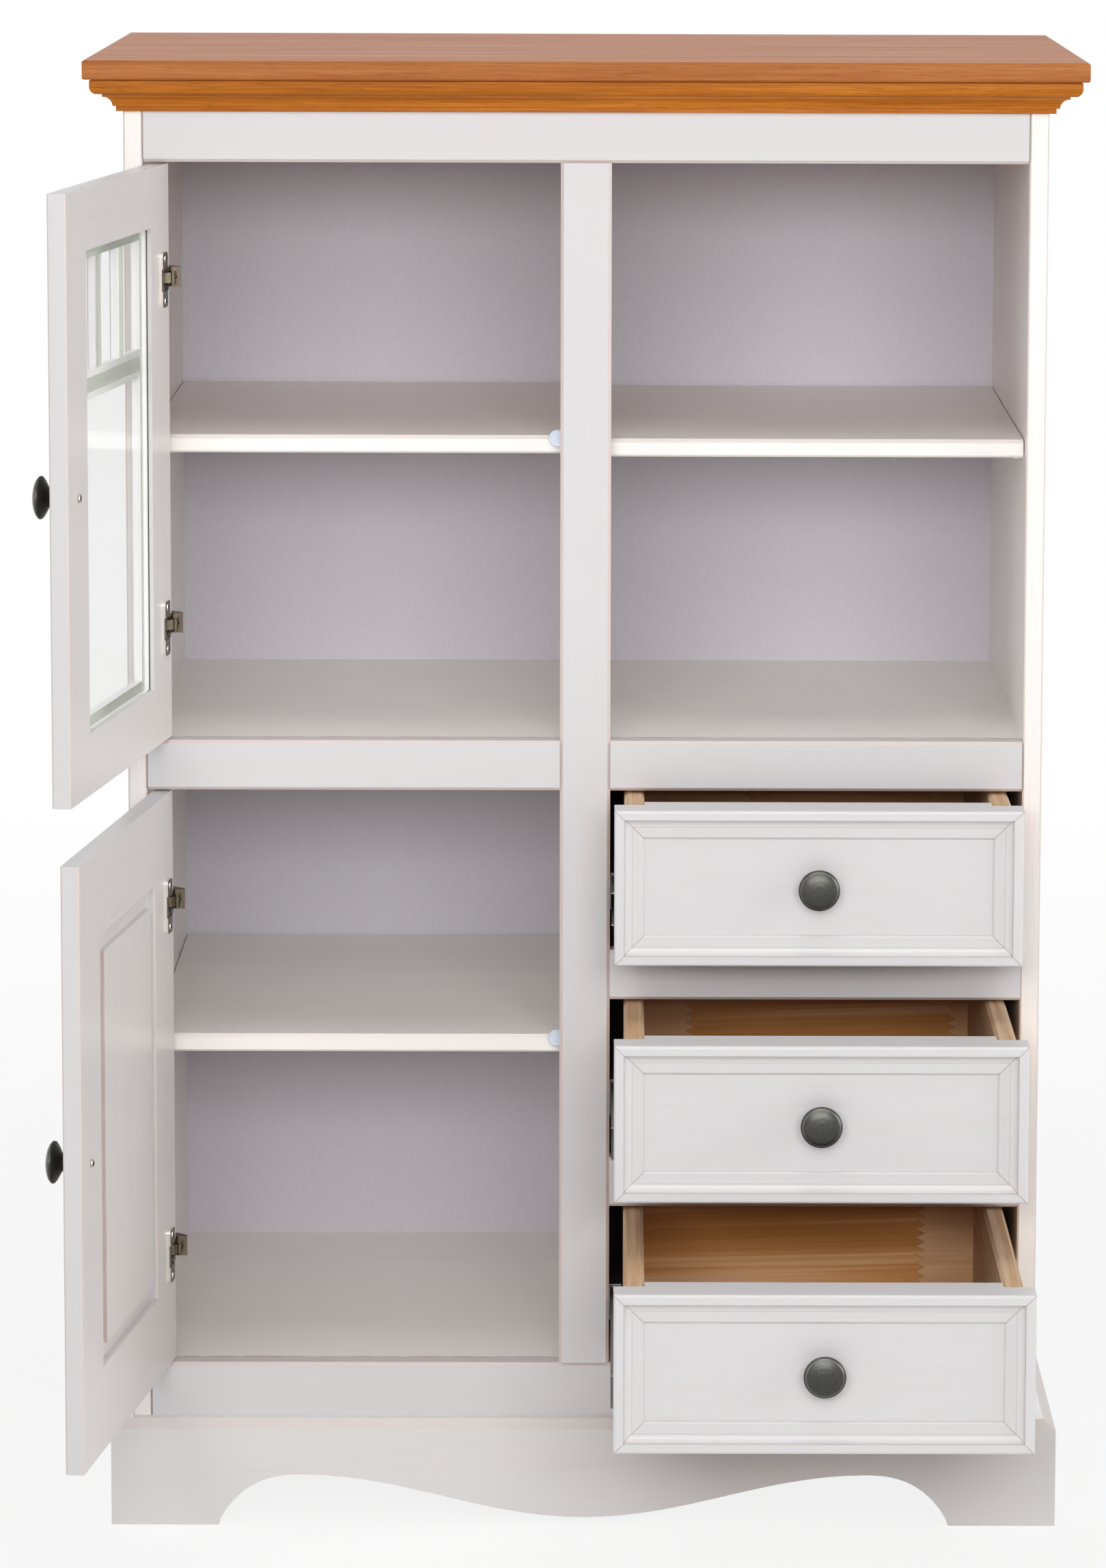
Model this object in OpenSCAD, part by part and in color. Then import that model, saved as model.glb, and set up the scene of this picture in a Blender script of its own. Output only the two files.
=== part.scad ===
// Highboard display cabinet: two inset doors on the left, an open bay and three drawers on the right.
// The origin is in the middle of the face on which the rear rail stands. X runs right, Y to the rear, Z up.
// A depth is measured from the face of the front frame towards the rear.
// The doors stand open and the drawers are pulled out, as at rest; every joint starts from there.

/* [Carcase] */
// Width over the two side panels
carcase_w = 870; // [780:1:960]
// Depth from the front frame to the rear edges
carcase_d = 495; // [470:1:560]
// Thickness of sides, divider and fixed boards
board_t = 18; // [16:0.5:20]
// Thickness of the back panels
back_t = 4; // [3:0.5:6]
// How far a back panel reaches into the rebate of a side
back_grip = 9; // [6:0.5:12]

/* [Heights] */
// Top of the bottom board above the floor
base_top = 155; // [145:1:175]
// Clear height of each drawer opening
drawer_opening_h = 155; // [140:1:170]
// Clear height of the two upper bays
upper_bay_h = 551; // [500:1:600]

/* [Front frame] */
// Height of each rail that shows
rail_h = 48; // [42:1:56]
// Thickness of rails and centre stile
rail_t = 20; // [19:0.5:24]
// Width of the centre stile
stile_w = 48; // [44:1:60]
// Bevel along the front edges of rails and stile
frame_bevel = 3; // [1:0.5:5]
// Small arris on the other front edges
arris = 1.5; // [0.5:0.5:2.5]
// Height of the bottom rail, partly behind the skirt
bottom_rail_h = 72; // [62:1:90]

/* [Top board and cornice] */
// Thickness of the top board
top_t = 18; // [16:0.5:25]
// Overhang of the top board at each side
top_over_side = 35; // [32:1:45]
// Overhang of the top board in front
top_over_front = 37; // [32:1:45]
// Overhang of the top board at the rear
top_over_rear = 8; // [0:1:15]
// Height of the cornice moulding
cornice_h = 31; // [28:1:36]
// How far the cornice stands out from the carcase
cornice_out = 29; // [26:0.5:31]

/* [Base] */
// Thickness of the skirt boards
skirt_t = 20; // [18:0.5:24]
// Height of the skirt
skirt_h = 103; // [97:1:115]
// Width of the bevel on the skirt's top edge
skirt_bevel_w = 11; // [6:0.5:14]
// Height of the bevel on the skirt's top edge
skirt_bevel_h = 8; // [4:0.5:12]
// Height of the arches between foot and middle
arch_h = 50; // [40:1:60]
// Length of a foot along the floor, from the skirt's end
foot_l = 103; // [80:1:130]
// Length of the curve from a foot to the top of its arch
foot_rise_l = 80; // [50:1:100]
// How far the middle of the skirt ends above the floor
middle_lift = 8; // [4:1:20]

/* [Shelves] */
// Thickness of the loose shelves
shelf_t = 17; // [15:0.5:20]
// Depth at which the shelves begin
shelf_setback = 25; // [24:1:60]
// Gap at each end of a shelf
shelf_gap = 1; // [0.5:0.25:2]
// Gap between a shelf and the back
shelf_rear_gap = 3; // [1:0.5:8]
// Top of the upper left shelf above its bay's floor
shelf_rise_ul = 290; // [250:1:320]
// Top of the upper right shelf above its bay's floor
shelf_rise_ur = 287; // [250:1:320]
// Top of the lower left shelf above its bay's floor
shelf_rise_ll = 318; // [280:1:340]
// Radius of the holes for shelf pins
pin_hole_r = 2.5; // [2:0.25:3]
// Depth of the holes for shelf pins
pin_hole_l = 9; // [7:0.5:11]
// Step from one pin hole to the next
pin_step = 64; // [32:32:96]
// Depth of the front row of pin holes
pin_row_front = 58; // [50:1:90]
// Distance of the rear row of pin holes from the rear edge
pin_row_rear = 60; // [40:1:90]
// Radius of a door stop
stop_r = 8.2; // [6:0.2:10]
// Thickness of a door stop
stop_t = 3; // [2:0.25:3.5]

/* [Doors] */
// Thickness of a door
door_t = 17; // [16:0.5:17.5]
// Gap round a door
door_gap = 2; // [1.75:0.25:3]
// Depth of a closed door's face
door_setback = 2; // [1.5:0.25:2.5]
// Width of a door's stiles
door_stile_w = 82; // [70:1:95]
// Width of the glass door's rails
glass_rail_w = 66; // [60:1:80]
// Width of the panel door's rails
panel_rail_w = 80; // [70:1:95]
// Width of the glass rebate
glass_rebate = 10; // [6:0.5:14]
// Thickness of the lip in front of the glass
glass_lip_t = 8; // [6:0.5:10]
// Thickness of the glass
glass_t = 4; // [3:0.5:5]
// Width of the glazing bars
bar_w = 26; // [18:1:32]
// Height of the three small lights
small_light_h = 102; // [80:1:130]
// Thickness of the door panel round its field
panel_t = 6; // [5:0.5:7]
// How far the panel's field stands out at the inner face
panel_field_t = 5.5; // [3:0.5:6]
// Width of the sunk margin round the field
panel_margin = 16; // [10:1:24]
// Depth of the groove round the door panel
panel_groove = 9; // [6:0.5:12]
// Bevel of the frame round the panel on the outer face
panel_bevel = 4; // [2:0.5:5]
// Distance of a hinge from the end of its door
hinge_end = 108; // [90:1:140]
// Opening angle of the glass door at rest
glass_door_angle = 99; // [90:1:100]
// Opening angle of the panel door at rest
panel_door_angle = 98; // [90:1:100]

/* [Cup hinges] */
// Radius of the bored hole for a hinge cup
cup_r = 13; // [12.8:0.1:13.2]
// Depth of a hinge cup
cup_depth = 11.5; // [11:0.25:12]
// Wall of a hinge cup
cup_wall = 0.6; // [0.4:0.1:0.8]
// Distance of a cup's centre from the door's edge
cup_inset = 17; // [16.5:0.25:17.5]
// Radius of the rim round a cup
rim_r = 15; // [14:0.5:15.5]
// Thickness of the rim on the door's inner face
rim_t = 0.8; // [0.5:0.1:1]
// Height of the cup's flange
wing_h = 52; // [46:1:60]
// Distance of the door's turning axis from the side panel
pivot_in = 10.5; // [10.3:0.1:11]
// Depth of the door's turning axis
pivot_depth = 7.4; // [7:0.1:7.8]
// Distance of the link's pin on the arm from the side panel
arm_pin_in = 26.5; // [26.2:0.1:27]
// Depth of the link's pin on the arm
arm_pin_depth = 11; // [10.9:0.05:11.3]
// Distance of the link's pin in the cup from the turning axis
cup_pin_reach = 5.5; // [5:0.1:6]
// Opening angle at which the hinge's pins are as far apart as when it is closed
pin_match_angle = 99; // [90:1:102]
// Turn of a link for each degree that its door opens
link_turn = 0.389; // [0.38:0.001:0.4]
// Radius of the pins
hinge_pin_r = 1.2; // [1:0.1:1.3]
// Height of the link plate
link_h = 9.6; // [8:0.2:10]
// Height of the arm
arm_h = 19; // [16:0.5:20]
// Length of the arm behind the front frame
arm_l = 78; // [70:1:90]
// Thickness of the plate under the arm
mount_plate_t = 4.4; // [3:0.2:5]

/* [Drawers] */
// Gap at each end of a drawer front
drawer_end_gap = 4; // [2:0.5:6]
// Gap above and below a drawer front
drawer_level_gap = 3; // [2:0.5:5]
// Thickness of a drawer's front board
front_t = 20; // [16:0.5:24]
// Width of the mitred moulding on a drawer front
moulding_w = 28.5; // [24:0.5:34]
// Thickness of the mitred moulding
moulding_t = 10; // [8:0.5:14]
// Thickness of the inner front of a drawer box
inner_front_t = 15; // [12:0.5:18]
// Thickness of a drawer's sides
box_side_t = 19; // [15:0.5:20]
// Thickness of a drawer's back
box_back_t = 16; // [12:0.5:18]
// Length of a drawer's sides
box_l = 440; // [380:1:440]
// Lowest edge of a drawer's sides above its opening
box_lift = 8; // [6:1:14]
// Height of the groove for the bottom above the sides' lower edges
bottom_lift = 10; // [8:1:16]
// Thickness of a drawer's bottom
bottom_t = 4; // [3:0.5:6]
// Depth of the groove for the bottom
bottom_groove = 6; // [4:0.5:8]
// Space for a runner at each side of a drawer
runner_gap = 13.5; // [12.5:0.5:15]
// Height of a runner
runner_h = 35; // [30:1:45]
// Thickness of the runner's steel
runner_steel = 1.2; // [1:0.1:1.6]
// Running clearance inside a runner
runner_play = 0.4; // [0.3:0.05:0.6]
// Height of a runner's middle above its opening
runner_level = 50; // [40:1:60]
// How far the top drawer is pulled out
pull_top = 88; // [0:1:330]
// How far the middle drawer is pulled out
pull_middle = 187; // [0:1:330]
// How far the bottom drawer is pulled out
pull_bottom = 308; // [0:1:330]

/* [Knobs] */
// Radius of a knob
knob_r = 19.8; // [15:0.1:22]
// Length of a knob
knob_l = 24; // [21:0.5:30]
// Radius of a knob's foot
knob_foot_r = 8.5; // [7:0.25:10]
// Radius of the knob screws
screw_r = 2; // [1.5:0.25:2.5]
// Distance of a door knob from the free edge
knob_edge = 38; // [30:1:50]

/* [Hidden] */
$fn = 48;
// Clearance of a pin that turns or sits in a hole
fit = 0.05;
// Overlap that keeps a cutter clear of the faces it cuts through
eps = 1;
inner_w = carcase_w - 2 * board_t;
board_rear = carcase_d - back_t;
origin_d = board_rear - board_t / 2;
bay_w = (inner_w - stile_w) / 2;
drawer_z = [for (i = [0:2]) base_top + (2 - i) * (drawer_opening_h + rail_h)];
mid_rail_z = drawer_z[0] + drawer_opening_h;
bay_z = mid_rail_z + rail_h;
top_rail_z = bay_z + upper_bay_h;
carcase_h = top_rail_z + rail_h + cornice_h;
back_joint_z = bay_z - board_t / 2;
back_joint_gap = 1;
back_play = 0.5;
shelf_tops = [bay_z + shelf_rise_ul, bay_z + shelf_rise_ur, base_top + shelf_rise_ll];
pin_rows = [pin_row_front, carcase_d - pin_row_rear];
pin_clip_l = 8;
pin_clip_t = 2;
// Doors
door_w = bay_w - 2 * door_gap;
door_x = -inner_w / 2 + door_gap;
glass_door_z = [bay_z + door_gap, top_rail_z - door_gap];
panel_door_z = [base_top + door_gap, mid_rail_z - door_gap];
panel_field_sink = 0.5;
panel_depth = door_t - panel_field_sink - panel_field_t - panel_t;
groove_play = 0.5;
screw_head_r = 4;
screw_head_t = 2.5;
knob_bore_l = 10;
// Hinges, in distances from the side panel and depths from the front frame
cup_x = door_gap + cup_inset;
cup_mouth = door_setback + door_t;
cup_inner_r = cup_r - fit - cup_wall;
arm_from_pivot = [arm_pin_in - pivot_in, arm_pin_depth - pivot_depth];
arm_bearing = atan2(arm_from_pivot[1], arm_from_pivot[0]);
cup_pin_from_pivot = cup_pin_reach
    * [cos(arm_bearing + pin_match_angle / 2), sin(arm_bearing + pin_match_angle / 2)];
link_eye_r = 2.3;
link_plate_t = 1.2;
link_bow = 1.8;
fork_play = 0.45;
fork_r = hinge_pin_r + fork_play;
fork_end_r = fork_r + 0.7;
fork_from = norm(arm_from_pivot) - cup_pin_reach - 0.1;
fork_to = norm(arm_from_pivot - cup_pin_from_pivot) + 0.6;
cheek_gap = 0.2;
cheek_t = 1.4;
// Drawers
drawer_x = (inner_w + stile_w) / 4;
front_w = bay_w - 2 * drawer_end_gap;
front_h = drawer_opening_h - 2 * drawer_level_gap;
box_w = bay_w - 2 * runner_gap;
box_in_w = box_w - 2 * box_side_t;
box_h = drawer_opening_h - drawer_level_gap - box_lift;
box_front = door_setback + moulding_t + front_t;
box_ease = 3;
joint_gap = 0.1;
batten_h = 40;
runner_front = box_front + 8;
runner_l = box_l - 20;
pulls = [pull_top, pull_middle, pull_bottom];
// Cornice
cornice_foot_h = 5;
cornice_fillet_h = 2.5;
cornice_cove_r = 9;
cornice_ovolo_r = 7.5;
cornice_step = 3;
cornice_foot_out = cornice_out - 23;
// Shelves and stops
shelf_ease_top = 3.5;
shelf_ease_low = 2;
stop_side = 3;
stop_drop = 2;
// Hinge fittings
flange_t = 1.6;
wing_w = 20;
wing_t = 2.6;
wing_shift = 9;
wing_corner_r = 4;
wing_screw_end = 6;
arm_clear = 1.4;
arm_corner = 4.5;
arm_back = 13;
arm_steel = 1.6;
white = "#eeebe8";
honey = "#c07334";
pine = "#d2a878";
hardboard = "#6b3d22";
steel = "#b9bbbe";

// Puts depths measured from the front frame in their place.
module from_front() translate([0, -origin_d, 0]) children();

// Box between two corners.
module block(lo, hi) translate(lo) cube(hi - lo);

// Profile of depth and height, run along X.
module along_x(x0, x1) translate([x0, 0, 0]) rotate([90, 0, 90]) linear_extrude(x1 - x0) children();

// Profile of X and depth, run upwards.
module upwards(z0, z1) translate([0, 0, z0]) linear_extrude(z1 - z0) children();

// Rectangle whose two edges at the low side of its first axis are bevelled.
module front_edged(lo, hi, c) polygon([
    [lo[0] + c, lo[1]], [hi[0], lo[1]], [hi[0], hi[1]], [lo[0] + c, hi[1]],
    [lo[0], hi[1] - c], [lo[0], lo[1] + c]
]);

// Rail of the front frame, bevelled along both front edges.
module rail(x0, x1, z0, z1)
    color(white) from_front() along_x(x0, x1) front_edged([0, z0], [rail_t, z1], frame_bevel);

// Upright board, X limits and depth limits given, with eased front edges.
module upright(x0, x1, d0, d1, z0, z1, c)
    upwards(z0, z1) polygon([
        [x0, d1], [x0, d0 + c], [x0 + c, d0], [x1 - c, d0], [x1, d0 + c], [x1, d1]
    ]);

// Sunk rows of holes for shelf pins in a panel face at x, drilled towards dir.
module pin_holes(x, dir, tops)
    for (top = tops, row = pin_rows, step = [-1:1])
        translate([x, row, top - shelf_t - pin_clip_t - pin_hole_r + step * pin_step])
            rotate([0, dir * 90, 0]) translate([0, 0, -eps]) cylinder(r = pin_hole_r, h = pin_hole_l + eps);

// Side panel on one side, -1 left and 1 right, with its rear rebate.
module side_panel(side, tops) color(white) from_front() difference() {
    upright(min(side * carcase_w, side * inner_w) / 2, max(side * carcase_w, side * inner_w) / 2,
        0, carcase_d, 0, carcase_h, arris);
    block([side > 0 ? inner_w / 2 - eps : -inner_w / 2 - back_grip, board_rear, base_top - board_t],
        [side > 0 ? inner_w / 2 + back_grip : -inner_w / 2 + eps, carcase_d + eps, carcase_h + eps]);
    pin_holes(side * inner_w / 2, side, tops);
}

module side_left() side_panel(-1, [shelf_tops[0], shelf_tops[2]]);
module side_right() side_panel(1, [shelf_tops[1]]);

// Upright panel between the bays, drilled for the pins of all three shelves.
module divider() color(white) from_front() difference() {
    block([-board_t / 2, rail_t, base_top], [board_t / 2, board_rear, carcase_h]);
    pin_holes(-board_t / 2, 1, [shelf_tops[0], shelf_tops[2]]);
    pin_holes(board_t / 2, -1, [shelf_tops[1]]);
}

// Top board with an arris along all its edges.
module top_board() {
    x = carcase_w / 2 + top_over_side;
    d = [-top_over_front, carcase_d + top_over_rear];
    color(honey) from_front() translate([0, 0, carcase_h]) intersection() {
        along_x(-x, x) polygon([
            [d[0] + arris, 0], [d[1] - arris, 0], [d[1], arris], [d[1], top_t - arris],
            [d[1] - arris, top_t], [d[0] + arris, top_t], [d[0], top_t - arris], [d[0], arris]
        ]);
        translate([0, d[1] + eps, 0]) rotate([90, 0, 0]) linear_extrude(d[1] - d[0] + 2 * eps) polygon([
            [-x + arris, 0], [x - arris, 0], [x, arris], [x, top_t - arris],
            [x - arris, top_t], [-x + arris, top_t], [-x, top_t - arris], [-x, arris]
        ]);
    }
}

// Points along an arc from bearing a0 to a1.
function arc(centre, r, a0, a1, n) =
    [for (i = [0:n]) centre + r * [cos(a0 + (a1 - a0) * i / n), sin(a0 + (a1 - a0) * i / n)]];

// Cornice section, outwards and up from its lower rear corner: foot, step, cove, fillet, ovolo, band.
cove_end = cornice_foot_out + cornice_step + cornice_cove_r;
fillet_z = cornice_foot_h + cornice_cove_r + cornice_fillet_h;
cornice_section = concat(
    [[0, 0], [cornice_foot_out, 0], [cornice_foot_out, cornice_foot_h]],
    arc([cove_end, cornice_foot_h], cornice_cove_r, 180, 90, 8),
    [[cove_end, fillet_z]],
    arc([cornice_out - cornice_ovolo_r, fillet_z + cornice_ovolo_r], cornice_ovolo_r, -70, 0, 6),
    [[cornice_out, cornice_h - arris], [cornice_out - arris, cornice_h], [0, cornice_h]]
);

// Skirt section, outwards and up: bevelled on its top edge.
skirt_section = [
    [0, 0], [skirt_t, 0], [skirt_t, skirt_h - skirt_bevel_h], [skirt_t - skirt_bevel_w, skirt_h], [0, skirt_h]
];

// Front piece of a moulding that runs round three sides, mitred at both ends.
module mitred_front(section, out, h) intersection() {
    translate([-carcase_w / 2 - out - eps, 0, 0]) rotate([90, 0, 90]) linear_extrude(carcase_w + 2 * out + 2 * eps)
        polygon([for (p = section) [-p[0], p[1]]]);
    upwards(-eps, h + eps) polygon([
        [-carcase_w / 2, 0], [-carcase_w / 2 - out, -out], [carcase_w / 2 + out, -out], [carcase_w / 2, 0]
    ]);
}

// The two side pieces of such a moulding, mitred at their front ends.
module mitred_returns(section, out, h) for (side = [0, 1]) mirror([side, 0, 0]) intersection() {
    translate([carcase_w / 2, carcase_d + eps, 0]) rotate([90, 0, 0])
        linear_extrude(carcase_d + out + 2 * eps) polygon(section);
    upwards(-eps, h + eps) polygon([
        [carcase_w / 2, 0], [carcase_w / 2 + out, -out], [carcase_w / 2 + out, carcase_d], [carcase_w / 2, carcase_d]
    ]);
}

module cornice_front() color(honey) from_front() translate([0, 0, carcase_h - cornice_h])
    mitred_front(cornice_section, cornice_out, cornice_h);
module cornice_returns() color(honey) from_front() translate([0, 0, carcase_h - cornice_h])
    mitred_returns(cornice_section, cornice_out, cornice_h);

// Height of the skirt's lower edge at a distance from its middle: a wave, then the curve of a foot.
peak_x = carcase_w / 2 + skirt_t - foot_l - foot_rise_l;
function wave_z(x) = middle_lift + (arch_h - middle_lift) * (1 - cos(180 * x / peak_x)) / 2;
function foot_z(u) = arch_h * pow(1 - pow(u, 2.5), 0.77);
half_edge = concat(
    [for (i = [0:14]) [peak_x * i / 14, wave_z(peak_x * i / 14)]],
    [for (i = [1:9]) [peak_x + foot_rise_l * i / 10, foot_z(i / 10)]],
    [[peak_x + foot_rise_l * 0.97, foot_z(0.97)], [peak_x + foot_rise_l, -eps]]
);

module skirt_front() color(white) from_front() difference() {
    mitred_front(skirt_section, skirt_t, skirt_h);
    translate([0, eps, 0]) rotate([90, 0, 0]) linear_extrude(skirt_t + 2 * eps) polygon(concat(
        half_edge, [for (i = [len(half_edge) - 1:-1:1]) [-half_edge[i][0], half_edge[i][1]]]
    ));
}
module skirt_returns() color(white) from_front() mitred_returns(skirt_section, skirt_t, skirt_h);

module top_rail() rail(-inner_w / 2, inner_w / 2, top_rail_z, carcase_h);
module bottom_rail() rail(-inner_w / 2, inner_w / 2, base_top - bottom_rail_h, base_top);
module mid_rails() {
    rail(-inner_w / 2, -stile_w / 2, mid_rail_z, bay_z);
    rail(stile_w / 2, inner_w / 2, mid_rail_z, bay_z);
}
module drawer_rails() for (i = [1, 2])
    rail(stile_w / 2, inner_w / 2, drawer_z[i] + drawer_opening_h, drawer_z[i - 1]);
module centre_stile() color(white) from_front()
    upright(-stile_w / 2, stile_w / 2, 0, rail_t, base_top, top_rail_z, frame_bevel);

module mid_boards() color(white) from_front() {
    block([-inner_w / 2, rail_t, bay_z - board_t], [-board_t / 2, board_rear, bay_z]);
    block([board_t / 2, rail_t, bay_z - board_t], [inner_w / 2, board_rear, bay_z]);
}
module bottom_board() color(white) from_front()
    block([-inner_w / 2, rail_t, base_top - board_t], [inner_w / 2, board_rear, base_top]);
module rear_rail() color(white) from_front()
    block([-inner_w / 2, board_rear - board_t, 0], [inner_w / 2, board_rear, base_top - board_t]);
module back_panels() color("#dcd7dc") from_front() {
    x = inner_w / 2 + back_grip - back_play;
    block([-x, board_rear, base_top - board_t], [x, carcase_d, back_joint_z - back_joint_gap / 2]);
    block([-x, board_rear, back_joint_z + back_joint_gap / 2], [x, carcase_d, carcase_h]);
}

// Loose shelf with its top at z, eased more above than below along its front edge.
module shelf(x0, x1, z) color(white) from_front() along_x(x0 + shelf_gap, x1 - shelf_gap) polygon([
    [shelf_setback + shelf_ease_low, z - shelf_t], [board_rear - shelf_rear_gap, z - shelf_t],
    [board_rear - shelf_rear_gap, z], [shelf_setback + shelf_ease_top, z],
    [shelf_setback, z - shelf_ease_top], [shelf_setback, z - shelf_t + shelf_ease_low]
]);
module shelf_upper_left() shelf(-inner_w / 2, -board_t / 2, shelf_tops[0]);
module shelf_upper_right() shelf(board_t / 2, inner_w / 2, shelf_tops[1]);
module shelf_lower_left() shelf(-inner_w / 2, -board_t / 2, shelf_tops[2]);

// Pin in a panel face at x with a clip that points in direction dir under a shelf.
module shelf_pin(x, dir, top) for (row = pin_rows) translate([x, row, top - shelf_t - pin_clip_t]) {
    translate([0, 0, -pin_hole_r]) rotate([0, -dir * 90, 0]) cylinder(r = pin_hole_r - fit, h = pin_hole_l - fit);
    translate([dir > 0 ? 0 : -pin_clip_l, -pin_clip_l / 2, -pin_hole_r]) cube([pin_clip_l, pin_clip_l, pin_hole_r + pin_clip_t]);
}
module shelf_pins() color(steel) from_front() {
    for (top = [shelf_tops[0], shelf_tops[2]]) {
        shelf_pin(-inner_w / 2, 1, top);
        shelf_pin(-board_t / 2, -1, top);
    }
    shelf_pin(board_t / 2, 1, shelf_tops[1]);
    shelf_pin(inner_w / 2, -1, shelf_tops[1]);
}

// Discs on the rear of the centre stile that a closing door meets.
module door_stops() color("#c3ccd6") from_front() for (top = [shelf_tops[0], shelf_tops[2]])
    translate([-stile_w / 2 - stop_side, rail_t, top - stop_drop]) rotate([-90, 0, 0]) cylinder(r = stop_r, h = stop_t);

// Places what is drawn as closed, from the side panel and the front frame, at the turning axis's angle.
module at_hinge_side() translate([-inner_w / 2, -origin_d, 0]) children();
module opened(angle) at_hinge_side() translate([pivot_in, pivot_depth, 0]) rotate([0, 0, -angle])
    translate([-pivot_in, -pivot_depth, 0]) children();

// Solid opening that widens by c over its depth t towards its face at y = 0.
module bevelled_opening(x0, x1, z0, z1, c, t) intersection() {
    translate([0, 0, z0 - c - eps]) linear_extrude(z1 - z0 + 2 * c + 2 * eps)
        polygon([[x0 - c - c * eps / t, -eps], [x1 + c + c * eps / t, -eps], [x1, t], [x0, t]]);
    along_x(x0 - c - eps, x1 + c + eps)
        polygon([[-eps, z0 - c - c * eps / t], [-eps, z1 + c + c * eps / t], [t, z1], [t, z0]]);
}

// What is cut from the frame of the glass door: the rebate behind the lip.
module glass_seat(z) block([door_stile_w - glass_rebate, glass_lip_t, z[0] + glass_rail_w - glass_rebate],
    [door_w - door_stile_w + glass_rebate, door_t + eps, z[1] - glass_rail_w + glass_rebate]);

// What is cut from the frame of the panel door: a groove, a bevel outside and an arris inside.
module panel_seat(z) {
    block([door_stile_w - panel_groove, panel_depth, z[0] + panel_rail_w - panel_groove],
        [door_w - door_stile_w + panel_groove, panel_depth + panel_t, z[1] - panel_rail_w + panel_groove]);
    bevelled_opening(door_stile_w, door_w - door_stile_w, z[0] + panel_rail_w, z[1] - panel_rail_w,
        panel_bevel, panel_depth);
    translate([0, door_t, 0]) mirror([0, 1, 0])
        bevelled_opening(door_stile_w, door_w - door_stile_w, z[0] + panel_rail_w, z[1] - panel_rail_w, arris, arris);
}

function hinge_heights(z) = [z[0] + hinge_end, z[1] - hinge_end];
function knob_height(z) = (z[0] + z[1]) / 2;

// Both stiles of a door, bored for the cups and the knob screw; children are cut away.
module door_stiles(z, angle) color(white) opened(angle) translate([door_gap, door_setback, 0]) difference() {
    union() {
        upwards(z[0], z[1]) polygon([
            [0, arris], [arris, 0], [door_stile_w, 0], [door_stile_w, door_t], [arris, door_t], [0, door_t - arris]
        ]);
        translate([door_w, 0, 0]) mirror([1, 0, 0]) upwards(z[0], z[1]) polygon([
            [0, arris], [arris, 0], [door_stile_w, 0], [door_stile_w, door_t], [arris, door_t], [0, door_t - arris]
        ]);
    }
    children();
    for (h = hinge_heights(z)) translate([cup_inset, door_t - cup_depth, h]) rotate([-90, 0, 0])
        cylinder(r = cup_r, h = cup_depth + eps);
    translate([door_w - knob_edge, -eps, knob_height(z)]) rotate([-90, 0, 0])
        cylinder(r = screw_r + 2 * fit, h = door_t + 2 * eps);
}

// Both rails of a door, between its stiles; children are cut away.
module door_rails(z, rail_w, angle) color(white) opened(angle) translate([door_gap, door_setback, 0]) difference() {
    for (z0 = [z[0], z[1] - rail_w]) block([door_stile_w, 0, z0], [door_w - door_stile_w, door_t, z0 + rail_w]);
    children();
}

module glass_door_stiles() door_stiles(glass_door_z, glass_door_angle) glass_seat(glass_door_z);
module glass_door_rails() door_rails(glass_door_z, glass_rail_w, glass_door_angle) glass_seat(glass_door_z);
module panel_door_stiles() door_stiles(panel_door_z, panel_door_angle) panel_seat(panel_door_z);
module panel_door_rails() door_rails(panel_door_z, panel_rail_w, panel_door_angle) panel_seat(panel_door_z);

module glass_pane() color("#bcd8cf", 0.4) opened(glass_door_angle) translate([door_gap, door_setback, 0]) {
    edge = glass_rebate - groove_play;
    block([door_stile_w - edge, glass_lip_t, glass_door_z[0] + glass_rail_w - edge],
        [door_w - door_stile_w + edge, glass_lip_t + glass_t, glass_door_z[1] - glass_rail_w + edge]);
}

// One bar across the door and two upright bars over it, in front of the pane.
module glazing_bars() color(white) opened(glass_door_angle) translate([door_gap, door_setback, 0]) {
    top = glass_door_z[1] - glass_rail_w;
    bar_top = top - small_light_h;
    clear_w = door_w - 2 * door_stile_w;
    light_w = (clear_w - 2 * bar_w) / 3;
    c = arris;
    along_x(door_stile_w, door_w - door_stile_w) polygon([
        [c, bar_top - bar_w], [glass_lip_t, bar_top - bar_w], [glass_lip_t, bar_top],
        [c, bar_top], [0, bar_top - c], [0, bar_top - bar_w + c]
    ]);
    for (i = [1, 2]) {
        x = door_stile_w + i * light_w + (i - 1) * bar_w;
        upright(x, x + bar_w, 0, glass_lip_t, bar_top + joint_gap, top, c);
    }
}

// Panel with a square-edged field towards the inside, and the sunk margin round it.
module door_panel() color(white) opened(panel_door_angle) translate([door_gap, door_setback, 0]) {
    edge = panel_groove - groove_play;
    low = [door_stile_w, panel_door_z[0] + panel_rail_w];
    high = [door_w - door_stile_w, panel_door_z[1] - panel_rail_w];
    block([low[0] - edge, panel_depth, low[1] - edge], [high[0] + edge, panel_depth + panel_t, high[1] + edge]);
    block([low[0] + panel_margin, panel_depth, low[1] + panel_margin],
        [high[0] - panel_margin, panel_depth + panel_t + panel_field_t, high[1] - panel_margin]);
}

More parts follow.
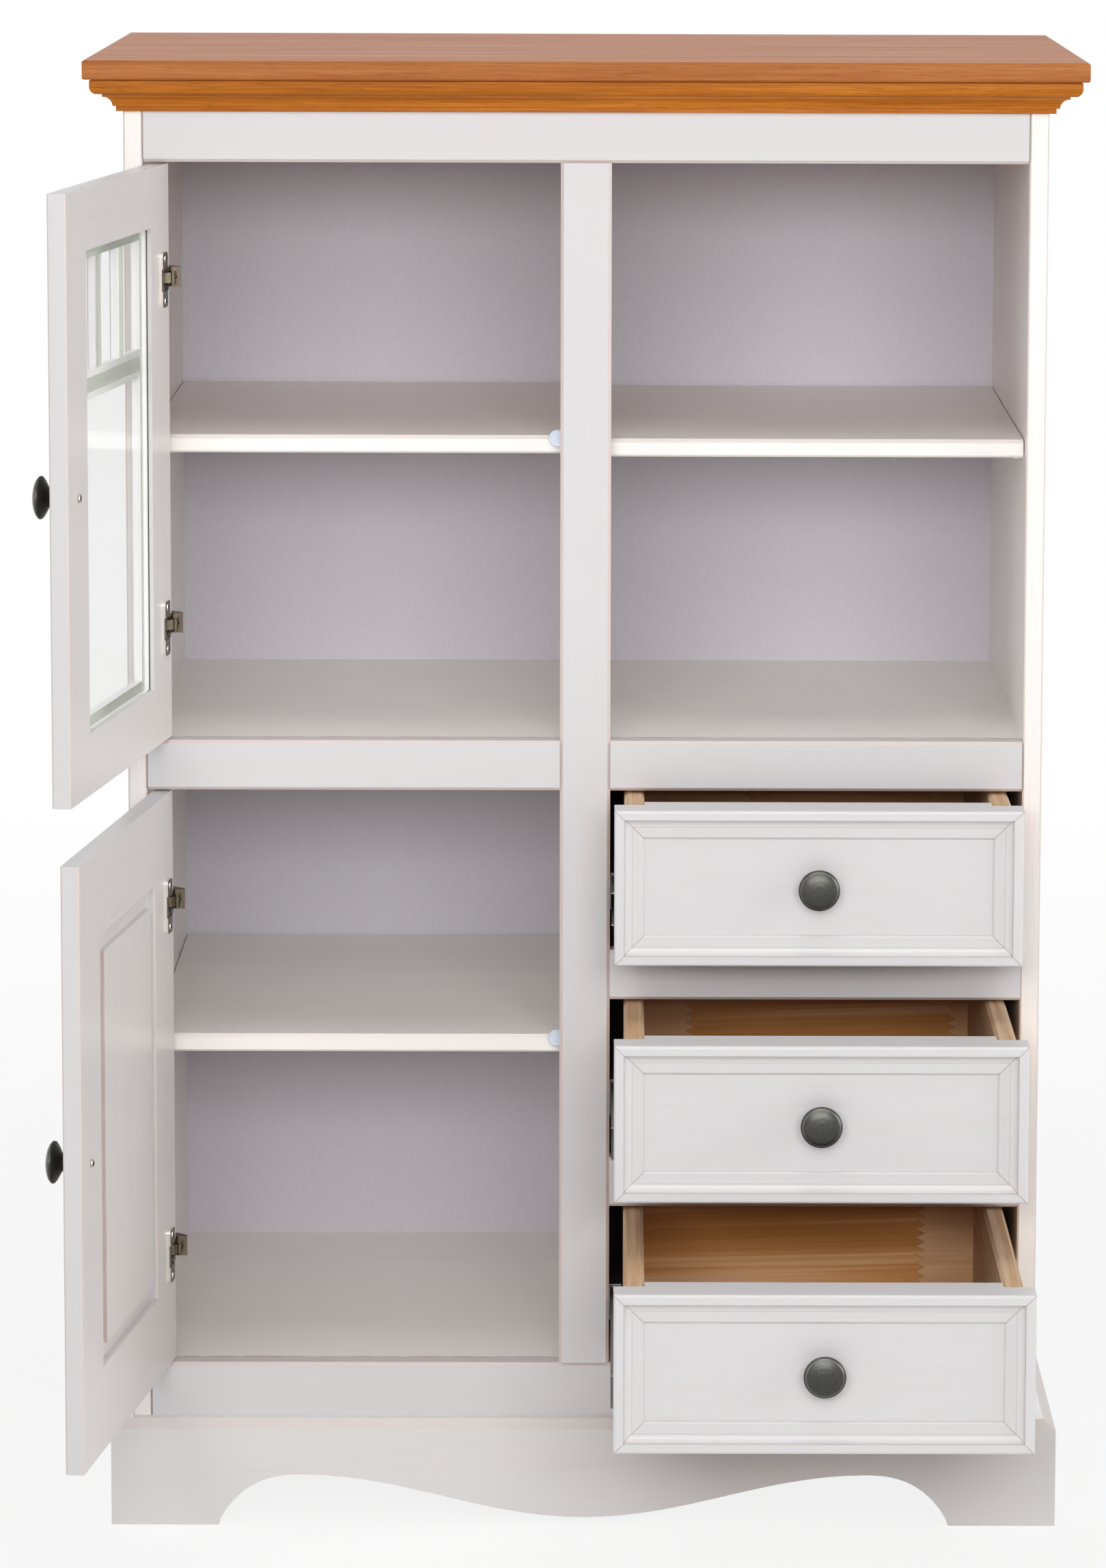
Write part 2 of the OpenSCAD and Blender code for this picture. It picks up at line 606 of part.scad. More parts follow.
// Turned mushroom knob, its foot at the origin and its face up, bored for its screw.
module knob_turning() {
    rim_z = knob_l * 0.69;
    face_r = knob_r * 0.85;
    crown = knob_l - rim_z - 3.3;
    dome_r = (face_r * face_r + crown * crown) / (2 * crown);
    dome_a = asin(face_r / dome_r);
    rotate_extrude($fn = 64) polygon(concat(
        [[screw_r + fit, 0], [knob_foot_r, 0], [knob_foot_r, 1.8], [knob_foot_r - 1, 2.6],
         [knob_foot_r - 2.2, 4], [knob_foot_r - 2, 7], [knob_foot_r + 1, 10],
         [knob_r - 2, rim_z - 1.6], [knob_r - 0.4, rim_z], [knob_r, rim_z + 1], [knob_r - 0.4, rim_z + 2],
         [face_r + 1, rim_z + 2.8]],
        [for (i = [0:6]) let (a = dome_a * (1 - i / 6)) [dome_r * sin(a), knob_l - dome_r * (1 - cos(a))]],
        [[0, knob_bore_l], [screw_r + fit, knob_bore_l]]
    ));
}

// Knob on a front at y = 0 and its screw, whose head lies behind t.
module knob(t) color("#4a4d4b") {
    rotate([90, 0, 0]) knob_turning();
    translate([0, t, 0]) rotate([90, 0, 0]) cylinder(r = screw_r, h = t + knob_bore_l - eps);
    translate([0, t + screw_head_t, 0]) rotate([90, 0, 0]) cylinder(r1 = screw_head_r - 1, r2 = screw_head_r, h = screw_head_t);
}
module door_knob(z, angle) opened(angle)
    translate([door_gap + door_w - knob_edge, door_setback, knob_height(z)]) knob(door_t);
module glass_door_knob() door_knob(glass_door_z, glass_door_angle);
module panel_door_knob() door_knob(panel_door_z, panel_door_angle);

// Flange of a hinge cup, on the door's inner face and further from its edge than the cup.
module hinge_flange(t) translate([wing_shift, 0, 0]) rotate([-90, 0, 0]) linear_extrude(t)
    offset(r = wing_corner_r) square([wing_w - 2 * wing_corner_r, wing_h - 2 * wing_corner_r], center = true);

// Pressed cup with its rim, its thicker ears with two screws and the pin that the link's fork holds.
module hinge_cup() {
    pin_from_cup = [pivot_in, pivot_depth] + cup_pin_from_pivot - [cup_x, cup_mouth];
    pin_l = 2 * sqrt(pow(cup_inner_r, 2) - pow(pin_from_cup[0], 2)) + cup_wall;
    difference() {
        union() {
            translate([0, -cup_depth + fit, 0]) rotate([-90, 0, 0]) cylinder(r = cup_r - fit, h = cup_depth + rim_t - fit);
            rotate([-90, 0, 0]) cylinder(r = rim_r, h = rim_t);
            hinge_flange(flange_t);
            difference() {
                hinge_flange(wing_t);
                block([-wing_w, -eps, -arm_h / 2 - 1], [2 * wing_w, wing_t + eps, arm_h / 2 + 1]);
            }
            for (side = [-1, 1]) translate([wing_shift, 0, side * (wing_h / 2 - wing_screw_end)]) rotate([-90, 0, 0])
                cylinder(r1 = screw_head_r, r2 = screw_head_r - 1, h = wing_t + 0.6);
        }
        translate([0, -cup_depth + cup_wall, 0]) rotate([-90, 0, 0]) cylinder(r = cup_inner_r, h = cup_depth + rim_t + eps);
    }
    translate([pin_from_cup[0], pin_from_cup[1], -pin_l / 2]) cylinder(r = hinge_pin_r, h = pin_l, $fn = 24);
}
module door_cups(z, angle) color(steel) opened(angle) for (h = hinge_heights(z)) translate([cup_x, cup_mouth, h]) hinge_cup();
module glass_door_cups() door_cups(glass_door_z, glass_door_angle);
module panel_door_cups() door_cups(panel_door_z, panel_door_angle);

// Straight bar of width w between two points.
module bar_between(p, q, w) translate(p) rotate([0, 0, atan2(q[1] - p[1], q[0] - p[0])])
    translate([0, -w / 2]) square([norm(q - p), w]);

// Bowed link plate with an eye on the arm's pin and a fork on the cup's pin, drawn along +X.
module hinge_link() translate([0, 0, -link_h / 2]) linear_extrude(link_h) difference() {
    middle = [fork_to / 2, link_bow];
    union() {
        circle(r = link_eye_r, $fn = 32);
        bar_between([0, 0], middle, link_plate_t);
        translate(middle) circle(d = link_plate_t, $fn = 16);
        bar_between(middle, [fork_from, 0], link_plate_t);
        translate([fork_from, 0]) circle(r = fork_end_r, $fn = 32);
        translate([fork_from, -fork_end_r]) square([fork_to - fork_from, 2 * fork_end_r]);
    }
    circle(r = hinge_pin_r + fit, $fn = 32);
    translate([fork_from, 0]) circle(r = fork_r, $fn = 32);
    translate([fork_from, -fork_r]) square([fork_to - fork_from + eps, 2 * fork_r]);
}
module door_links(z, angle) color(steel) at_hinge_side() for (h = hinge_heights(z))
    translate([arm_pin_in, arm_pin_depth, h])
        rotate([0, 0, 180 + arm_bearing + link_turn * (angle - pin_match_angle / 2)]) hinge_link();
module glass_door_links() door_links(glass_door_z, glass_door_angle);
module panel_door_links() door_links(panel_door_z, panel_door_angle);

// Cranked channel arm for an inset door on its plate, with the nose that reaches into the cup.
module hinge_arm() {
    crank_d = cup_mouth + rim_t + arm_clear;
    nose = [arm_pin_in - link_eye_r, arm_pin_in + link_eye_r];
    outline = [
        [nose[0], crank_d], [nose[1] + arm_corner, crank_d], [nose[1] + arm_corner, crank_d + 5],
        [arm_back + 10, crank_d + 13], [arm_back, crank_d + 19], [arm_back, arm_l], [mount_plate_t, arm_l],
        [mount_plate_t, crank_d + 12], [arm_back - 3, crank_d + 7]
    ];
    translate([0, 0, -arm_h / 2]) difference() {
        linear_extrude(arm_h) polygon(outline);
        translate([-arm_steel, arm_steel, arm_steel]) linear_extrude(arm_h - 2 * arm_steel) polygon(outline);
    }
    for (side = [-1, 1]) translate([0, 0, side * (link_h / 2 + cheek_gap + cheek_t / 2) - cheek_t / 2]) linear_extrude(cheek_t) {
        translate([arm_pin_in, arm_pin_depth]) circle(r = link_eye_r, $fn = 32);
        translate([nose[0], arm_pin_depth]) square([2 * link_eye_r, crank_d + arm_steel - arm_pin_depth]);
    }
    pin_l = link_h + 2 * (cheek_gap + cheek_t);
    translate([arm_pin_in, arm_pin_depth, -pin_l / 2]) cylinder(r = hinge_pin_r, h = pin_l, $fn = 24);
    // Plate on the side panel, with wings for its two screws
    block([0, crank_d + 10, -arm_h / 2], [mount_plate_t, arm_l - 6, arm_h / 2]);
    block([0, crank_d + 14, -wing_h / 2], [2, crank_d + 28, wing_h / 2]);
    for (side = [-1, 1]) translate([2, crank_d + 21, side * (wing_h / 2 - wing_screw_end)]) rotate([0, 90, 0])
        cylinder(r1 = screw_head_r, r2 = screw_head_r - 1, h = 1.8);
    // Heads of the two adjusting screws
    for (d = [crank_d + 27, arm_l - 12]) translate([arm_back, d, 0]) rotate([0, 90, 0]) cylinder(r = screw_head_r - 0.5, h = 1.5);
}
module hinge_arms() color(steel) at_hinge_side() for (h = concat(hinge_heights(glass_door_z), hinge_heights(panel_door_z)))
    translate([0, 0, h]) hinge_arm();

// Places a drawer that is drawn closed, with its opening's lower middle at the origin.
module drawer(i) translate([drawer_x, -origin_d - pulls[i], drawer_z[i]]) children();

// Front board with the inner front of the box behind it, both bored for the knob's screw.
module drawer_front(i) color(white) drawer(i) difference() {
    union() {
        block([-front_w / 2, box_front - front_t, drawer_level_gap],
            [front_w / 2, box_front, drawer_level_gap + front_h]);
        difference() {
            block([-box_in_w / 2, box_front, box_lift], [box_in_w / 2, box_front + inner_front_t, box_lift + box_h]);
            block([-box_in_w, box_front + inner_front_t - bottom_groove, box_lift + bottom_lift],
                [box_in_w, box_front + inner_front_t + eps, box_lift + bottom_lift + bottom_t]);
        }
    }
    translate([0, 0, drawer_opening_h / 2]) rotate([-90, 0, 0])
        cylinder(r = screw_r + 2 * fit, h = box_front + inner_front_t + eps);
}

// Section of the drawer moulding, inwards from the edge and out from the board.
moulding_section = concat(
    [[0, 0], [0, moulding_t - 2.5]],
    arc([2.5, moulding_t - 2.5], 2.5, 180, 90, 4),
    [[moulding_w * 0.33, moulding_t], [moulding_w * 0.33, moulding_t - 1.2]],
    arc([moulding_w * 0.57, moulding_t - 0.5], moulding_w * 0.24, 186, 262, 6),
    [[moulding_w * 0.6, moulding_t * 0.26], [moulding_w - 2, moulding_t * 0.26],
     [moulding_w, moulding_t * 0.08], [moulding_w, 0]]
);

// One strip of the moulding along X, cut at 45 degrees at both ends.
module moulding_strip(l) intersection() {
    translate([-l / 2, 0, 0]) rotate([90, 0, 90]) linear_extrude(l) polygon(moulding_section);
    translate([0, 0, -eps]) linear_extrude(moulding_t + 2 * eps)
        polygon([
            [-l / 2 + joint_gap, 0], [l / 2 - joint_gap, 0],
            [l / 2 - moulding_w - joint_gap, moulding_w], [-l / 2 + moulding_w + joint_gap, moulding_w]
        ]);
}
module drawer_moulding(i) color(white) drawer(i) translate([0, box_front - front_t, drawer_level_gap + front_h / 2])
    rotate([90, 0, 0]) for (turn = [0, 1]) {
        rotate([0, 0, 180 * turn]) translate([0, -front_h / 2, 0]) moulding_strip(front_w);
        rotate([0, 0, 180 * turn + 90]) translate([0, -front_w / 2, 0]) moulding_strip(front_h);
    }

// Both sides of a drawer box, grooved for its bottom.
module drawer_sides(i) color(pine) drawer(i) for (side = [0, 1]) mirror([side, 0, 0]) difference() {
    translate([box_in_w / 2, box_front + box_l, box_lift]) rotate([90, 0, 0]) linear_extrude(box_l) polygon([
        [0, 0], [box_side_t, 0], [box_side_t, box_h - box_ease], [box_side_t - box_ease, box_h],
        [box_ease, box_h], [0, box_h - box_ease]
    ]);
    block([box_in_w / 2 - eps, box_front - eps, box_lift + bottom_lift],
        [box_in_w / 2 + bottom_groove, box_front + box_l + eps, box_lift + bottom_lift + bottom_t]);
}
module drawer_back(i) color(pine) drawer(i)
    block([-box_in_w / 2, box_front + box_l - box_back_t, box_lift + bottom_lift + bottom_t],
        [box_in_w / 2, box_front + box_l, box_lift + box_h - box_ease]);
module drawer_bottom(i) color(hardboard) drawer(i) {
    x = box_in_w / 2 + bottom_groove - groove_play;
    block([-x, box_front + inner_front_t, box_lift + bottom_lift],
        [x, box_front + box_l, box_lift + bottom_lift + bottom_t]);
    block([-box_in_w / 2, box_front + inner_front_t - bottom_groove + groove_play, box_lift + bottom_lift],
        [box_in_w / 2, box_front + inner_front_t, box_lift + bottom_lift + bottom_t]);
}

// Channel section of height h and depth d, its web at x = 0, open towards +X.
module channel(h, d, l) rotate([90, 0, 0]) linear_extrude(l) polygon([
    [0, -h / 2], [d, -h / 2], [d, -h / 2 + runner_steel], [runner_steel, -h / 2 + runner_steel],
    [runner_steel, h / 2 - runner_steel], [d, h / 2 - runner_steel], [d, h / 2], [0, h / 2]
]);
channel_depth = runner_gap - runner_steel - runner_play;

// Inner members of the runners, on the drawer's sides.
module drawer_runners(i) color(steel) drawer(i) for (side = [0, 1]) mirror([side, 0, 0])
    translate([box_w / 2, runner_front + runner_l, runner_level])
        channel(runner_h - 2 * runner_steel - 2 * runner_play, channel_depth, runner_l);

// Outer members, on the right side panel and on the battens at the left.
module cabinet_runners() color(steel) from_front() for (i = [0:2], side = [0, 1])
    translate([drawer_x, 0, drawer_z[i] + runner_level]) mirror([side, 0, 0])
        translate([bay_w / 2, runner_front + runner_l, 0]) mirror([1, 0, 0]) channel(runner_h, channel_depth, runner_l);

// Battens that bring the left runners out to the edge of the centre stile.
module runner_battens() color(pine) from_front() for (i = [0:2])
    block([board_t / 2, rail_t, drawer_z[i] + runner_level - batten_h / 2],
        [stile_w / 2, runner_front + runner_l, drawer_z[i] + runner_level + batten_h / 2]);

module drawer_knob(i) drawer(i) translate([0, box_front - front_t, drawer_opening_h / 2])
    knob(front_t + inner_front_t);

module top_drawer_front() drawer_front(0);
module top_drawer_moulding() drawer_moulding(0);
module top_drawer_sides() drawer_sides(0);
module top_drawer_back() drawer_back(0);
module top_drawer_bottom() drawer_bottom(0);
module top_drawer_runners() drawer_runners(0);
module top_drawer_knob() drawer_knob(0);
module middle_drawer_front() drawer_front(1);
module middle_drawer_moulding() drawer_moulding(1);
module middle_drawer_sides() drawer_sides(1);
module middle_drawer_back() drawer_back(1);
module middle_drawer_bottom() drawer_bottom(1);
module middle_drawer_runners() drawer_runners(1);
module middle_drawer_knob() drawer_knob(1);
module bottom_drawer_front() drawer_front(2);
module bottom_drawer_moulding() drawer_moulding(2);
module bottom_drawer_sides() drawer_sides(2);
module bottom_drawer_back() drawer_back(2);
module bottom_drawer_bottom() drawer_bottom(2);
module bottom_drawer_runners() drawer_runners(2);
module bottom_drawer_knob() drawer_knob(2);

side_left();
side_right();
top_board();
cornice_front();
cornice_returns();
top_rail();
centre_stile();
divider();
mid_rails();
mid_boards();
bottom_board();
bottom_rail();
drawer_rails();
skirt_front();
skirt_returns();
back_panels();
rear_rail();
shelf_upper_left();
shelf_upper_right();
shelf_lower_left();
shelf_pins();
door_stops();
hinge_arms();
runner_battens();
cabinet_runners();
glass_door_stiles();
glass_door_rails();
glass_pane();
glazing_bars();
glass_door_cups();
glass_door_links();
glass_door_knob();
panel_door_stiles();
panel_door_rails();
door_panel();
panel_door_cups();
panel_door_links();
panel_door_knob();
top_drawer_front();
top_drawer_moulding();
top_drawer_sides();
top_drawer_back();
top_drawer_bottom();
top_drawer_runners();
top_drawer_knob();
middle_drawer_front();
middle_drawer_moulding();
middle_drawer_sides();
middle_drawer_back();
middle_drawer_bottom();
middle_drawer_runners();
middle_drawer_knob();
bottom_drawer_front();
bottom_drawer_moulding();
bottom_drawer_sides();
bottom_drawer_back();
bottom_drawer_bottom();
bottom_drawer_runners();
bottom_drawer_knob();
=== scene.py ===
# Highboard display cabinet: finishes, turned knobs, bumpers, hinge fittings, light and camera
import math

import bpy
import numpy as np
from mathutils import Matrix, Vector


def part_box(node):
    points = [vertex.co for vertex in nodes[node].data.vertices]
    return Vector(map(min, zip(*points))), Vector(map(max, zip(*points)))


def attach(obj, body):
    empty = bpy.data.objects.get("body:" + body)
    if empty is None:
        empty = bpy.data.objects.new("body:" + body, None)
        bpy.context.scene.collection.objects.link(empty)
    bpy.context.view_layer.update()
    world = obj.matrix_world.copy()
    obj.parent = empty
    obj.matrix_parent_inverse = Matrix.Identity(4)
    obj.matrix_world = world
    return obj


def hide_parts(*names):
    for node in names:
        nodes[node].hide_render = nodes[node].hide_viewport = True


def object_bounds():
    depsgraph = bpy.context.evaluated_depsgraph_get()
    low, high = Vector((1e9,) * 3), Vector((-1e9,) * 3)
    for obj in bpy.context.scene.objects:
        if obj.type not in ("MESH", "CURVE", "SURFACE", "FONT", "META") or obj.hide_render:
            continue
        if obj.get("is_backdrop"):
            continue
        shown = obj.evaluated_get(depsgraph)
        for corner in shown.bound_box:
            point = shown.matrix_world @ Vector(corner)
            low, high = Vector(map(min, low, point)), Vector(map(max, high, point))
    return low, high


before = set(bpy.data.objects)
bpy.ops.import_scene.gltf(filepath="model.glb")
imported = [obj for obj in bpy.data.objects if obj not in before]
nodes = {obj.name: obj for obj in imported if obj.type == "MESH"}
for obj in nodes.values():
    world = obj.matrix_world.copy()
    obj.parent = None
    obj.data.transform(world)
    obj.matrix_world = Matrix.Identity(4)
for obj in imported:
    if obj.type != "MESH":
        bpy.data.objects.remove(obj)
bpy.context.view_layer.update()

# Measures in metres, as in the part's source. SIDE_OUTER lies just under the side panels' outer faces.
MM = 0.001
FRONT = 0.482
INNER_HALF = 0.417
SIDE_OUTER = 0.434
DRAWERS = ("top", "middle", "bottom")
# Where the doors turn, how far each stands open at rest, and its lower and upper edge
AXIS = np.array([-INNER_HALF + 10.5 * MM, -FRONT + 7.4 * MM, 0.0])
DOORS = {
    "glass_door": {"turn": math.radians(99.0), "z": (0.766, 1.313)},
    "panel_door": {"turn": math.radians(98.0), "z": (0.157, 0.714)},
}
DOOR_GAP = 2 * MM
DOOR_SET_BACK = 2 * MM
DOOR_W = 389 * MM
DOOR_T = 17 * MM
STILE_W = 82 * MM
KNOB_EDGE = 38 * MM
# The glass door's rails and bars, the lip before its pane, and how far its rebate reaches past the opening
GLASS_RAIL_W = 66 * MM
BAR_W = 26 * MM
SMALL_LIGHT_H = 102 * MM
LIP_T = 8 * MM
PANE_T = 4 * MM
REBATE_W = 11 * MM
# Width of the painted shadow in the gap beside the pane
PANE_GAP = 1.3 * MM
# Hinges: their height from a door's end, the arm's crank and slot, and the screws on the cup's ears
HINGE_END = 108 * MM
CRANK = 21.2 * MM
SLOT_IN = 27.3 * MM
PIN_BACK = 0.5 * MM
EAR_SCREW_IN = 26 * MM
EAR_SCREW_UP = 20 * MM
EAR_SCREW_TOP = 3.2 * MM
# Steps of a drawer's moulding, in millimetres inwards from its edge
MOULDING_STEPS = (9.4, 17.0, 28.4)
# Where along its length, in millimetres, a drawer's back is jointed, and which end lies beyond the joint
JOINTS = {"top": ((160.5, -1), (345.0, 1)), "middle": ((101.0, -1), (364.0, 1)), "bottom": ((328.0, 1),)}
FINGER = 8.6

# Colours of the finishes, of the places where the wood shows through the lacquer, and of painted light
# These six whites are one lacquer in lit and shaded copies: darkest on the lit frame, lighter where shade
# falls, painted light
FRAME_WHITE = "#D4D2D3"
DRAWER_WHITE = "#D9D7D8"
SKIRT_WHITE = "#DEDCDB"
BOARD_WHITE = "#F6F1ED"
DOOR_WHITE = "#E9E5E3"
BAR_WHITE = "#F4F1EF"
GRAIN_STREAK = "#D8C8C1"
WORN_EDGE = "#DCC4B8"
BARE_WOOD = "#B58A72"
THIN_LINE = "#A98874"
# Painted shadow in the seams at the rails' ends
SEAM_SHADOW_TONE = "#6E625C"
# Painted shadow in the gap beside the pane, and painted grey-green shade on the faces behind the pane
PANE_GAP_SHADOW = "#4A4038"
PANE_SHADE_GREEN = "#B4B9AE"
HONEY = [(0.36, "#BA743C"), (0.48, "#AD672D"), (0.58, "#A35C25"), (0.72, "#904D1C")]
HONEY_DEEP = [(0.36, "#D28630"), (0.48, "#BF7120"), (0.58, "#AC6218"), (0.72, "#965010")]
RESIN = "#6E3611"
PINE = [(0.38, "#D8BC9E"), (0.50, "#D0B08F"), (0.60, "#C49D76"), (0.74, "#AE855D")]
ORANGE_PINE = [(0.36, "#F6CC9E"), (0.47, "#EEBA86"), (0.53, "#DE9E5E"), (0.66, "#CC8A46")]
PALE_LENGTH = "#F2D0A8"
GLUE_LINE = "#8E5327"
PALE_ARRIS = "#EBD2B0"
# Bright ring on the knobs' rims: partly rubbed patina, partly painted highlight
RIM_RUBBED_AND_GLINT = "#8C8C86"
# Painted highlight on the hinge flanges' rolled walls
ROLLED_WALL_HIGHLIGHT = "#EDE7DE"
GLASS_TINT = "#FCFDFC"


# Colour and nodes

def linear(code):
    """sRGB hex, as #RRGGBB, to linear red, green, blue and 1."""
    s = np.array([int(code[i:i + 2], 16) for i in (1, 3, 5)]) / 255.0
    low = s / 12.92
    high = ((s + 0.055) / 1.055) ** 2.4
    return (*np.where(s <= 0.04045, low, high).tolist(), 1.0)


def add(tree, kind, sockets=None, stops=(), **settings):
    """Adds one node with its settings. A socket takes a value, another node's first output, or a given
    output. stops are a colour ramp's places and hex colours, from low to high. Of the sockets called by
    number, a Map Range has value, from low, from high, to low and to high, and a colour Mix has its share
    at 0 and its colours at 6 and 7."""
    n = tree.nodes.new(kind)
    for key, value in settings.items():
        setattr(n, key, value)
    for key, value in (sockets or {}).items():
        if isinstance(value, bpy.types.Node):
            value = value.outputs[0]
        if isinstance(value, bpy.types.NodeSocket):
            tree.links.new(value, n.inputs[key])
        else:
            n.inputs[key].default_value = value
    for i, (place, code) in enumerate(stops):
        elements = n.color_ramp.elements
        element = elements[i] if i < len(elements) else elements.new(place)
        element.position = place
        element.color = linear(code)
    return n


def new_material(name):
    """An empty node material: itself, its tree and its output node."""
    m = bpy.data.materials.new(name)
    m.use_nodes = True
    m.node_tree.nodes.clear()
    out = m.node_tree.nodes.new("ShaderNodeOutputMaterial")
    return m, m.node_tree, out


def in_door(door, points):
    """Points of the shut door, measured from the side panel's face and the cabinet's front, turned open
    about the hinge axis."""
    p = np.asarray(points, float) + [-INNER_HALF, -FRONT, 0]
    c = math.cos(-DOORS[door]["turn"])
    s = math.sin(-DOORS[door]["turn"])
    q = p - AXIS
    return np.stack([q[:, 0] * c - q[:, 1] * s, q[:, 0] * s + q[:, 1] * c, q[:, 2]], 1) + AXIS


def in_line(door, x, y):
    """X and Y, in millimetres, that place_in_line gives for a point of the open door: x and y are the
    point's place on the shut door."""
    at = in_door(door, [[x, y, 0.0]])[0]
    c = math.cos(DOORS[door]["turn"])
    s = math.sin(DOORS[door]["turn"])
    return (at[0] * c - at[1] * s) / MM, (at[0] * s + at[1] * c) / MM


# Places and patterns

def place_parts(t):
    """X, Y and Z of Object coordinates, in metres."""
    return add(t, "ShaderNodeSeparateXYZ", {0: add(t, "ShaderNodeTexCoord").outputs["Object"]}).outputs


def place_in_line(t, door):
    """X, Y and Z of Object coordinates, in millimetres, turned back about the cabinet's middle so that the
    open door lies in line with the front."""
    here = add(t, "ShaderNodeTexCoord").outputs["Object"]
    back = add(t, "ShaderNodeMapping", {"Vector": here, "Rotation": (0, 0, DOORS[door]["turn"]),
                                        "Scale": (1000, 1000, 1000)})
    return add(t, "ShaderNodeSeparateXYZ", {0: back}).outputs


def facing(t, turn):
    """The direction that a face looks in, turned back by a door's angle."""
    normal = add(t, "ShaderNodeTexCoord").outputs["Normal"]
    return add(t, "ShaderNodeMapping", {"Vector": normal, "Rotation": (0, 0, turn)}, vector_type="NORMAL")


def distance(t, value, middle=0.0):
    """How far value lies from middle."""
    off = add(t, "ShaderNodeMath", {0: value, 1: middle}, operation="SUBTRACT")
    return add(t, "ShaderNodeMath", {0: off}, operation="ABSOLUTE")


def weighed(t, a, share_a, b, share_b):
    """Sum of two patterns, each times its share."""
    first = add(t, "ShaderNodeMath", {0: a, 1: share_a, 2: 0.0}, operation="MULTIPLY_ADD")
    return add(t, "ShaderNodeMath", {0: b, 1: share_b, 2: first}, operation="MULTIPLY_ADD")


def along(t, axis, turn=0.0, shift=(0.0, 0.0, 0.0)):
    """Object coordinates in millimetres, turned back by a door's angle, with the grain brought onto X."""
    here = add(t, "ShaderNodeTexCoord").outputs["Object"]
    back = add(t, "ShaderNodeMapping", {"Vector": here, "Rotation": (0, 0, turn),
                                        "Scale": (1000, 1000, 1000)})
    onto_x = {"x": (0, 0, 0), "y": (0, 0, math.radians(-90)), "z": (0, math.radians(90), 0)}[axis]
    return add(t, "ShaderNodeMapping", {"Vector": back, "Rotation": onto_x, "Location": shift})


def grain(t, place, width_mm, length_mm, detail=3.0, rough=0.6):
    """Noise drawn out along X: width_mm across the fibres and length_mm along them."""
    scale = (1 / length_mm, 1 / width_mm, 1 / width_mm)
    drawn = add(t, "ShaderNodeMapping", {"Vector": place, "Scale": scale})
    return add(t, "ShaderNodeTexNoise", {"Vector": drawn, "Scale": 1.0, "Detail": detail,
                                         "Roughness": rough})


def eased_edges(t, turn, most):
    """Share that is most on bevels and arrises, whose direction lies between two axes, and 0 on flats."""
    size = add(t, "ShaderNodeVectorMath", {0: facing(t, turn)}, operation="ABSOLUTE")
    size = add(t, "ShaderNodeSeparateXYZ", {0: size})
    flat = add(t, "ShaderNodeMath", {0: size.outputs[0], 1: size.outputs[1]}, operation="MAXIMUM")
    flat = add(t, "ShaderNodeMath", {0: flat, 1: size.outputs[2]}, operation="MAXIMUM")
    return add(t, "ShaderNodeMapRange", {0: flat, 1: 0.80, 2: 0.97, 3: most, 4: 0.0})


def faces_inwards(t, door):
    """1 on faces that look to the cabinet when the door is shut."""
    parts = add(t, "ShaderNodeSeparateXYZ", {0: facing(t, DOORS[door]["turn"])})
    return add(t, "ShaderNodeMath", {0: parts.outputs[1], 1: 0.9}, operation="GREATER_THAN")


def outer_sides(t):
    """Share 1 on the outer faces of the side panels, which take the frame's darker tone as lit faces:
    painted light.
    """
    off = distance(t, place_parts(t)[0])
    return add(t, "ShaderNodeMath", {0: off, 1: SIDE_OUTER}, operation="GREATER_THAN")


def outer_door(door):
    """Share 1 on all faces of a door but those that look to the cabinet when it is shut; these take the
    frame's darker tone as lit faces, painted light.
    """
    def share(t):
        return add(t, "ShaderNodeMath", {0: 1.0, 1: faces_inwards(t, door)}, operation="SUBTRACT")
    return share


# Lines over the lacquer, some of them painted shade, as said at each: each inner function gives a share and
# a colour

def moulding_lines(centre, half):
    """Lines where the lacquer is thin on a drawer's moulding: along the mitres, where the distances inwards
    from the two nearest edges are equal, and along the moulding's steps."""
    def lines(t, place):
        here = add(t, "ShaderNodeTexCoord").outputs["Object"]
        off = add(t, "ShaderNodeVectorMath", {0: here, 1: centre}, operation="SUBTRACT")
        off = add(t, "ShaderNodeVectorMath", {0: off}, operation="ABSOLUTE")
        inwards = add(t, "ShaderNodeVectorMath", {0: half, 1: off}, operation="SUBTRACT")
        inwards = add(t, "ShaderNodeSeparateXYZ", {0: inwards})
        a, b = inwards.outputs[0], inwards.outputs[2]
        apart = distance(t, a, b)
        share = add(t, "ShaderNodeMapRange", {0: apart, 1: 0.25 * MM, 2: 0.6 * MM, 3: 0.6, 4: 0.0})
        least = add(t, "ShaderNodeMath", {0: a, 1: b}, operation="MINIMUM")
        for step in MOULDING_STEPS:
            near = distance(t, least, step * MM)
            line = add(t, "ShaderNodeMapRange", {0: near, 1: 0.15 * MM, 2: 0.55 * MM, 3: 0.32, 4: 0.0})
            share = add(t, "ShaderNodeMath", {0: share, 1: line}, operation="MAXIMUM")
        return share, linear(THIN_LINE)
    return lines


def joint_lines(y):
    """Lines of bare wood where a board meets its rail at y: 3 mm wide, broken up along the joint."""
    def lines(t, place):
        near = add(t, "ShaderNodeMath", {0: place_parts(t)[1], 1: y}, operation="SUBTRACT")
        near = add(t, "ShaderNodeMapRange", {0: near, 1: 2.0 * MM, 2: 4.0 * MM, 3: 1.0, 4: 0.0})
        broken = grain(t, place, 6, 24, 2.0)
        broken = add(t, "ShaderNodeMapRange", {0: broken, 1: 0.35, 2: 0.6, 3: 0.25, 4: 0.95})
        return add(t, "ShaderNodeMath", {0: near, 1: broken}, operation="MULTIPLY"), linear(BARE_WOOD)
    return lines


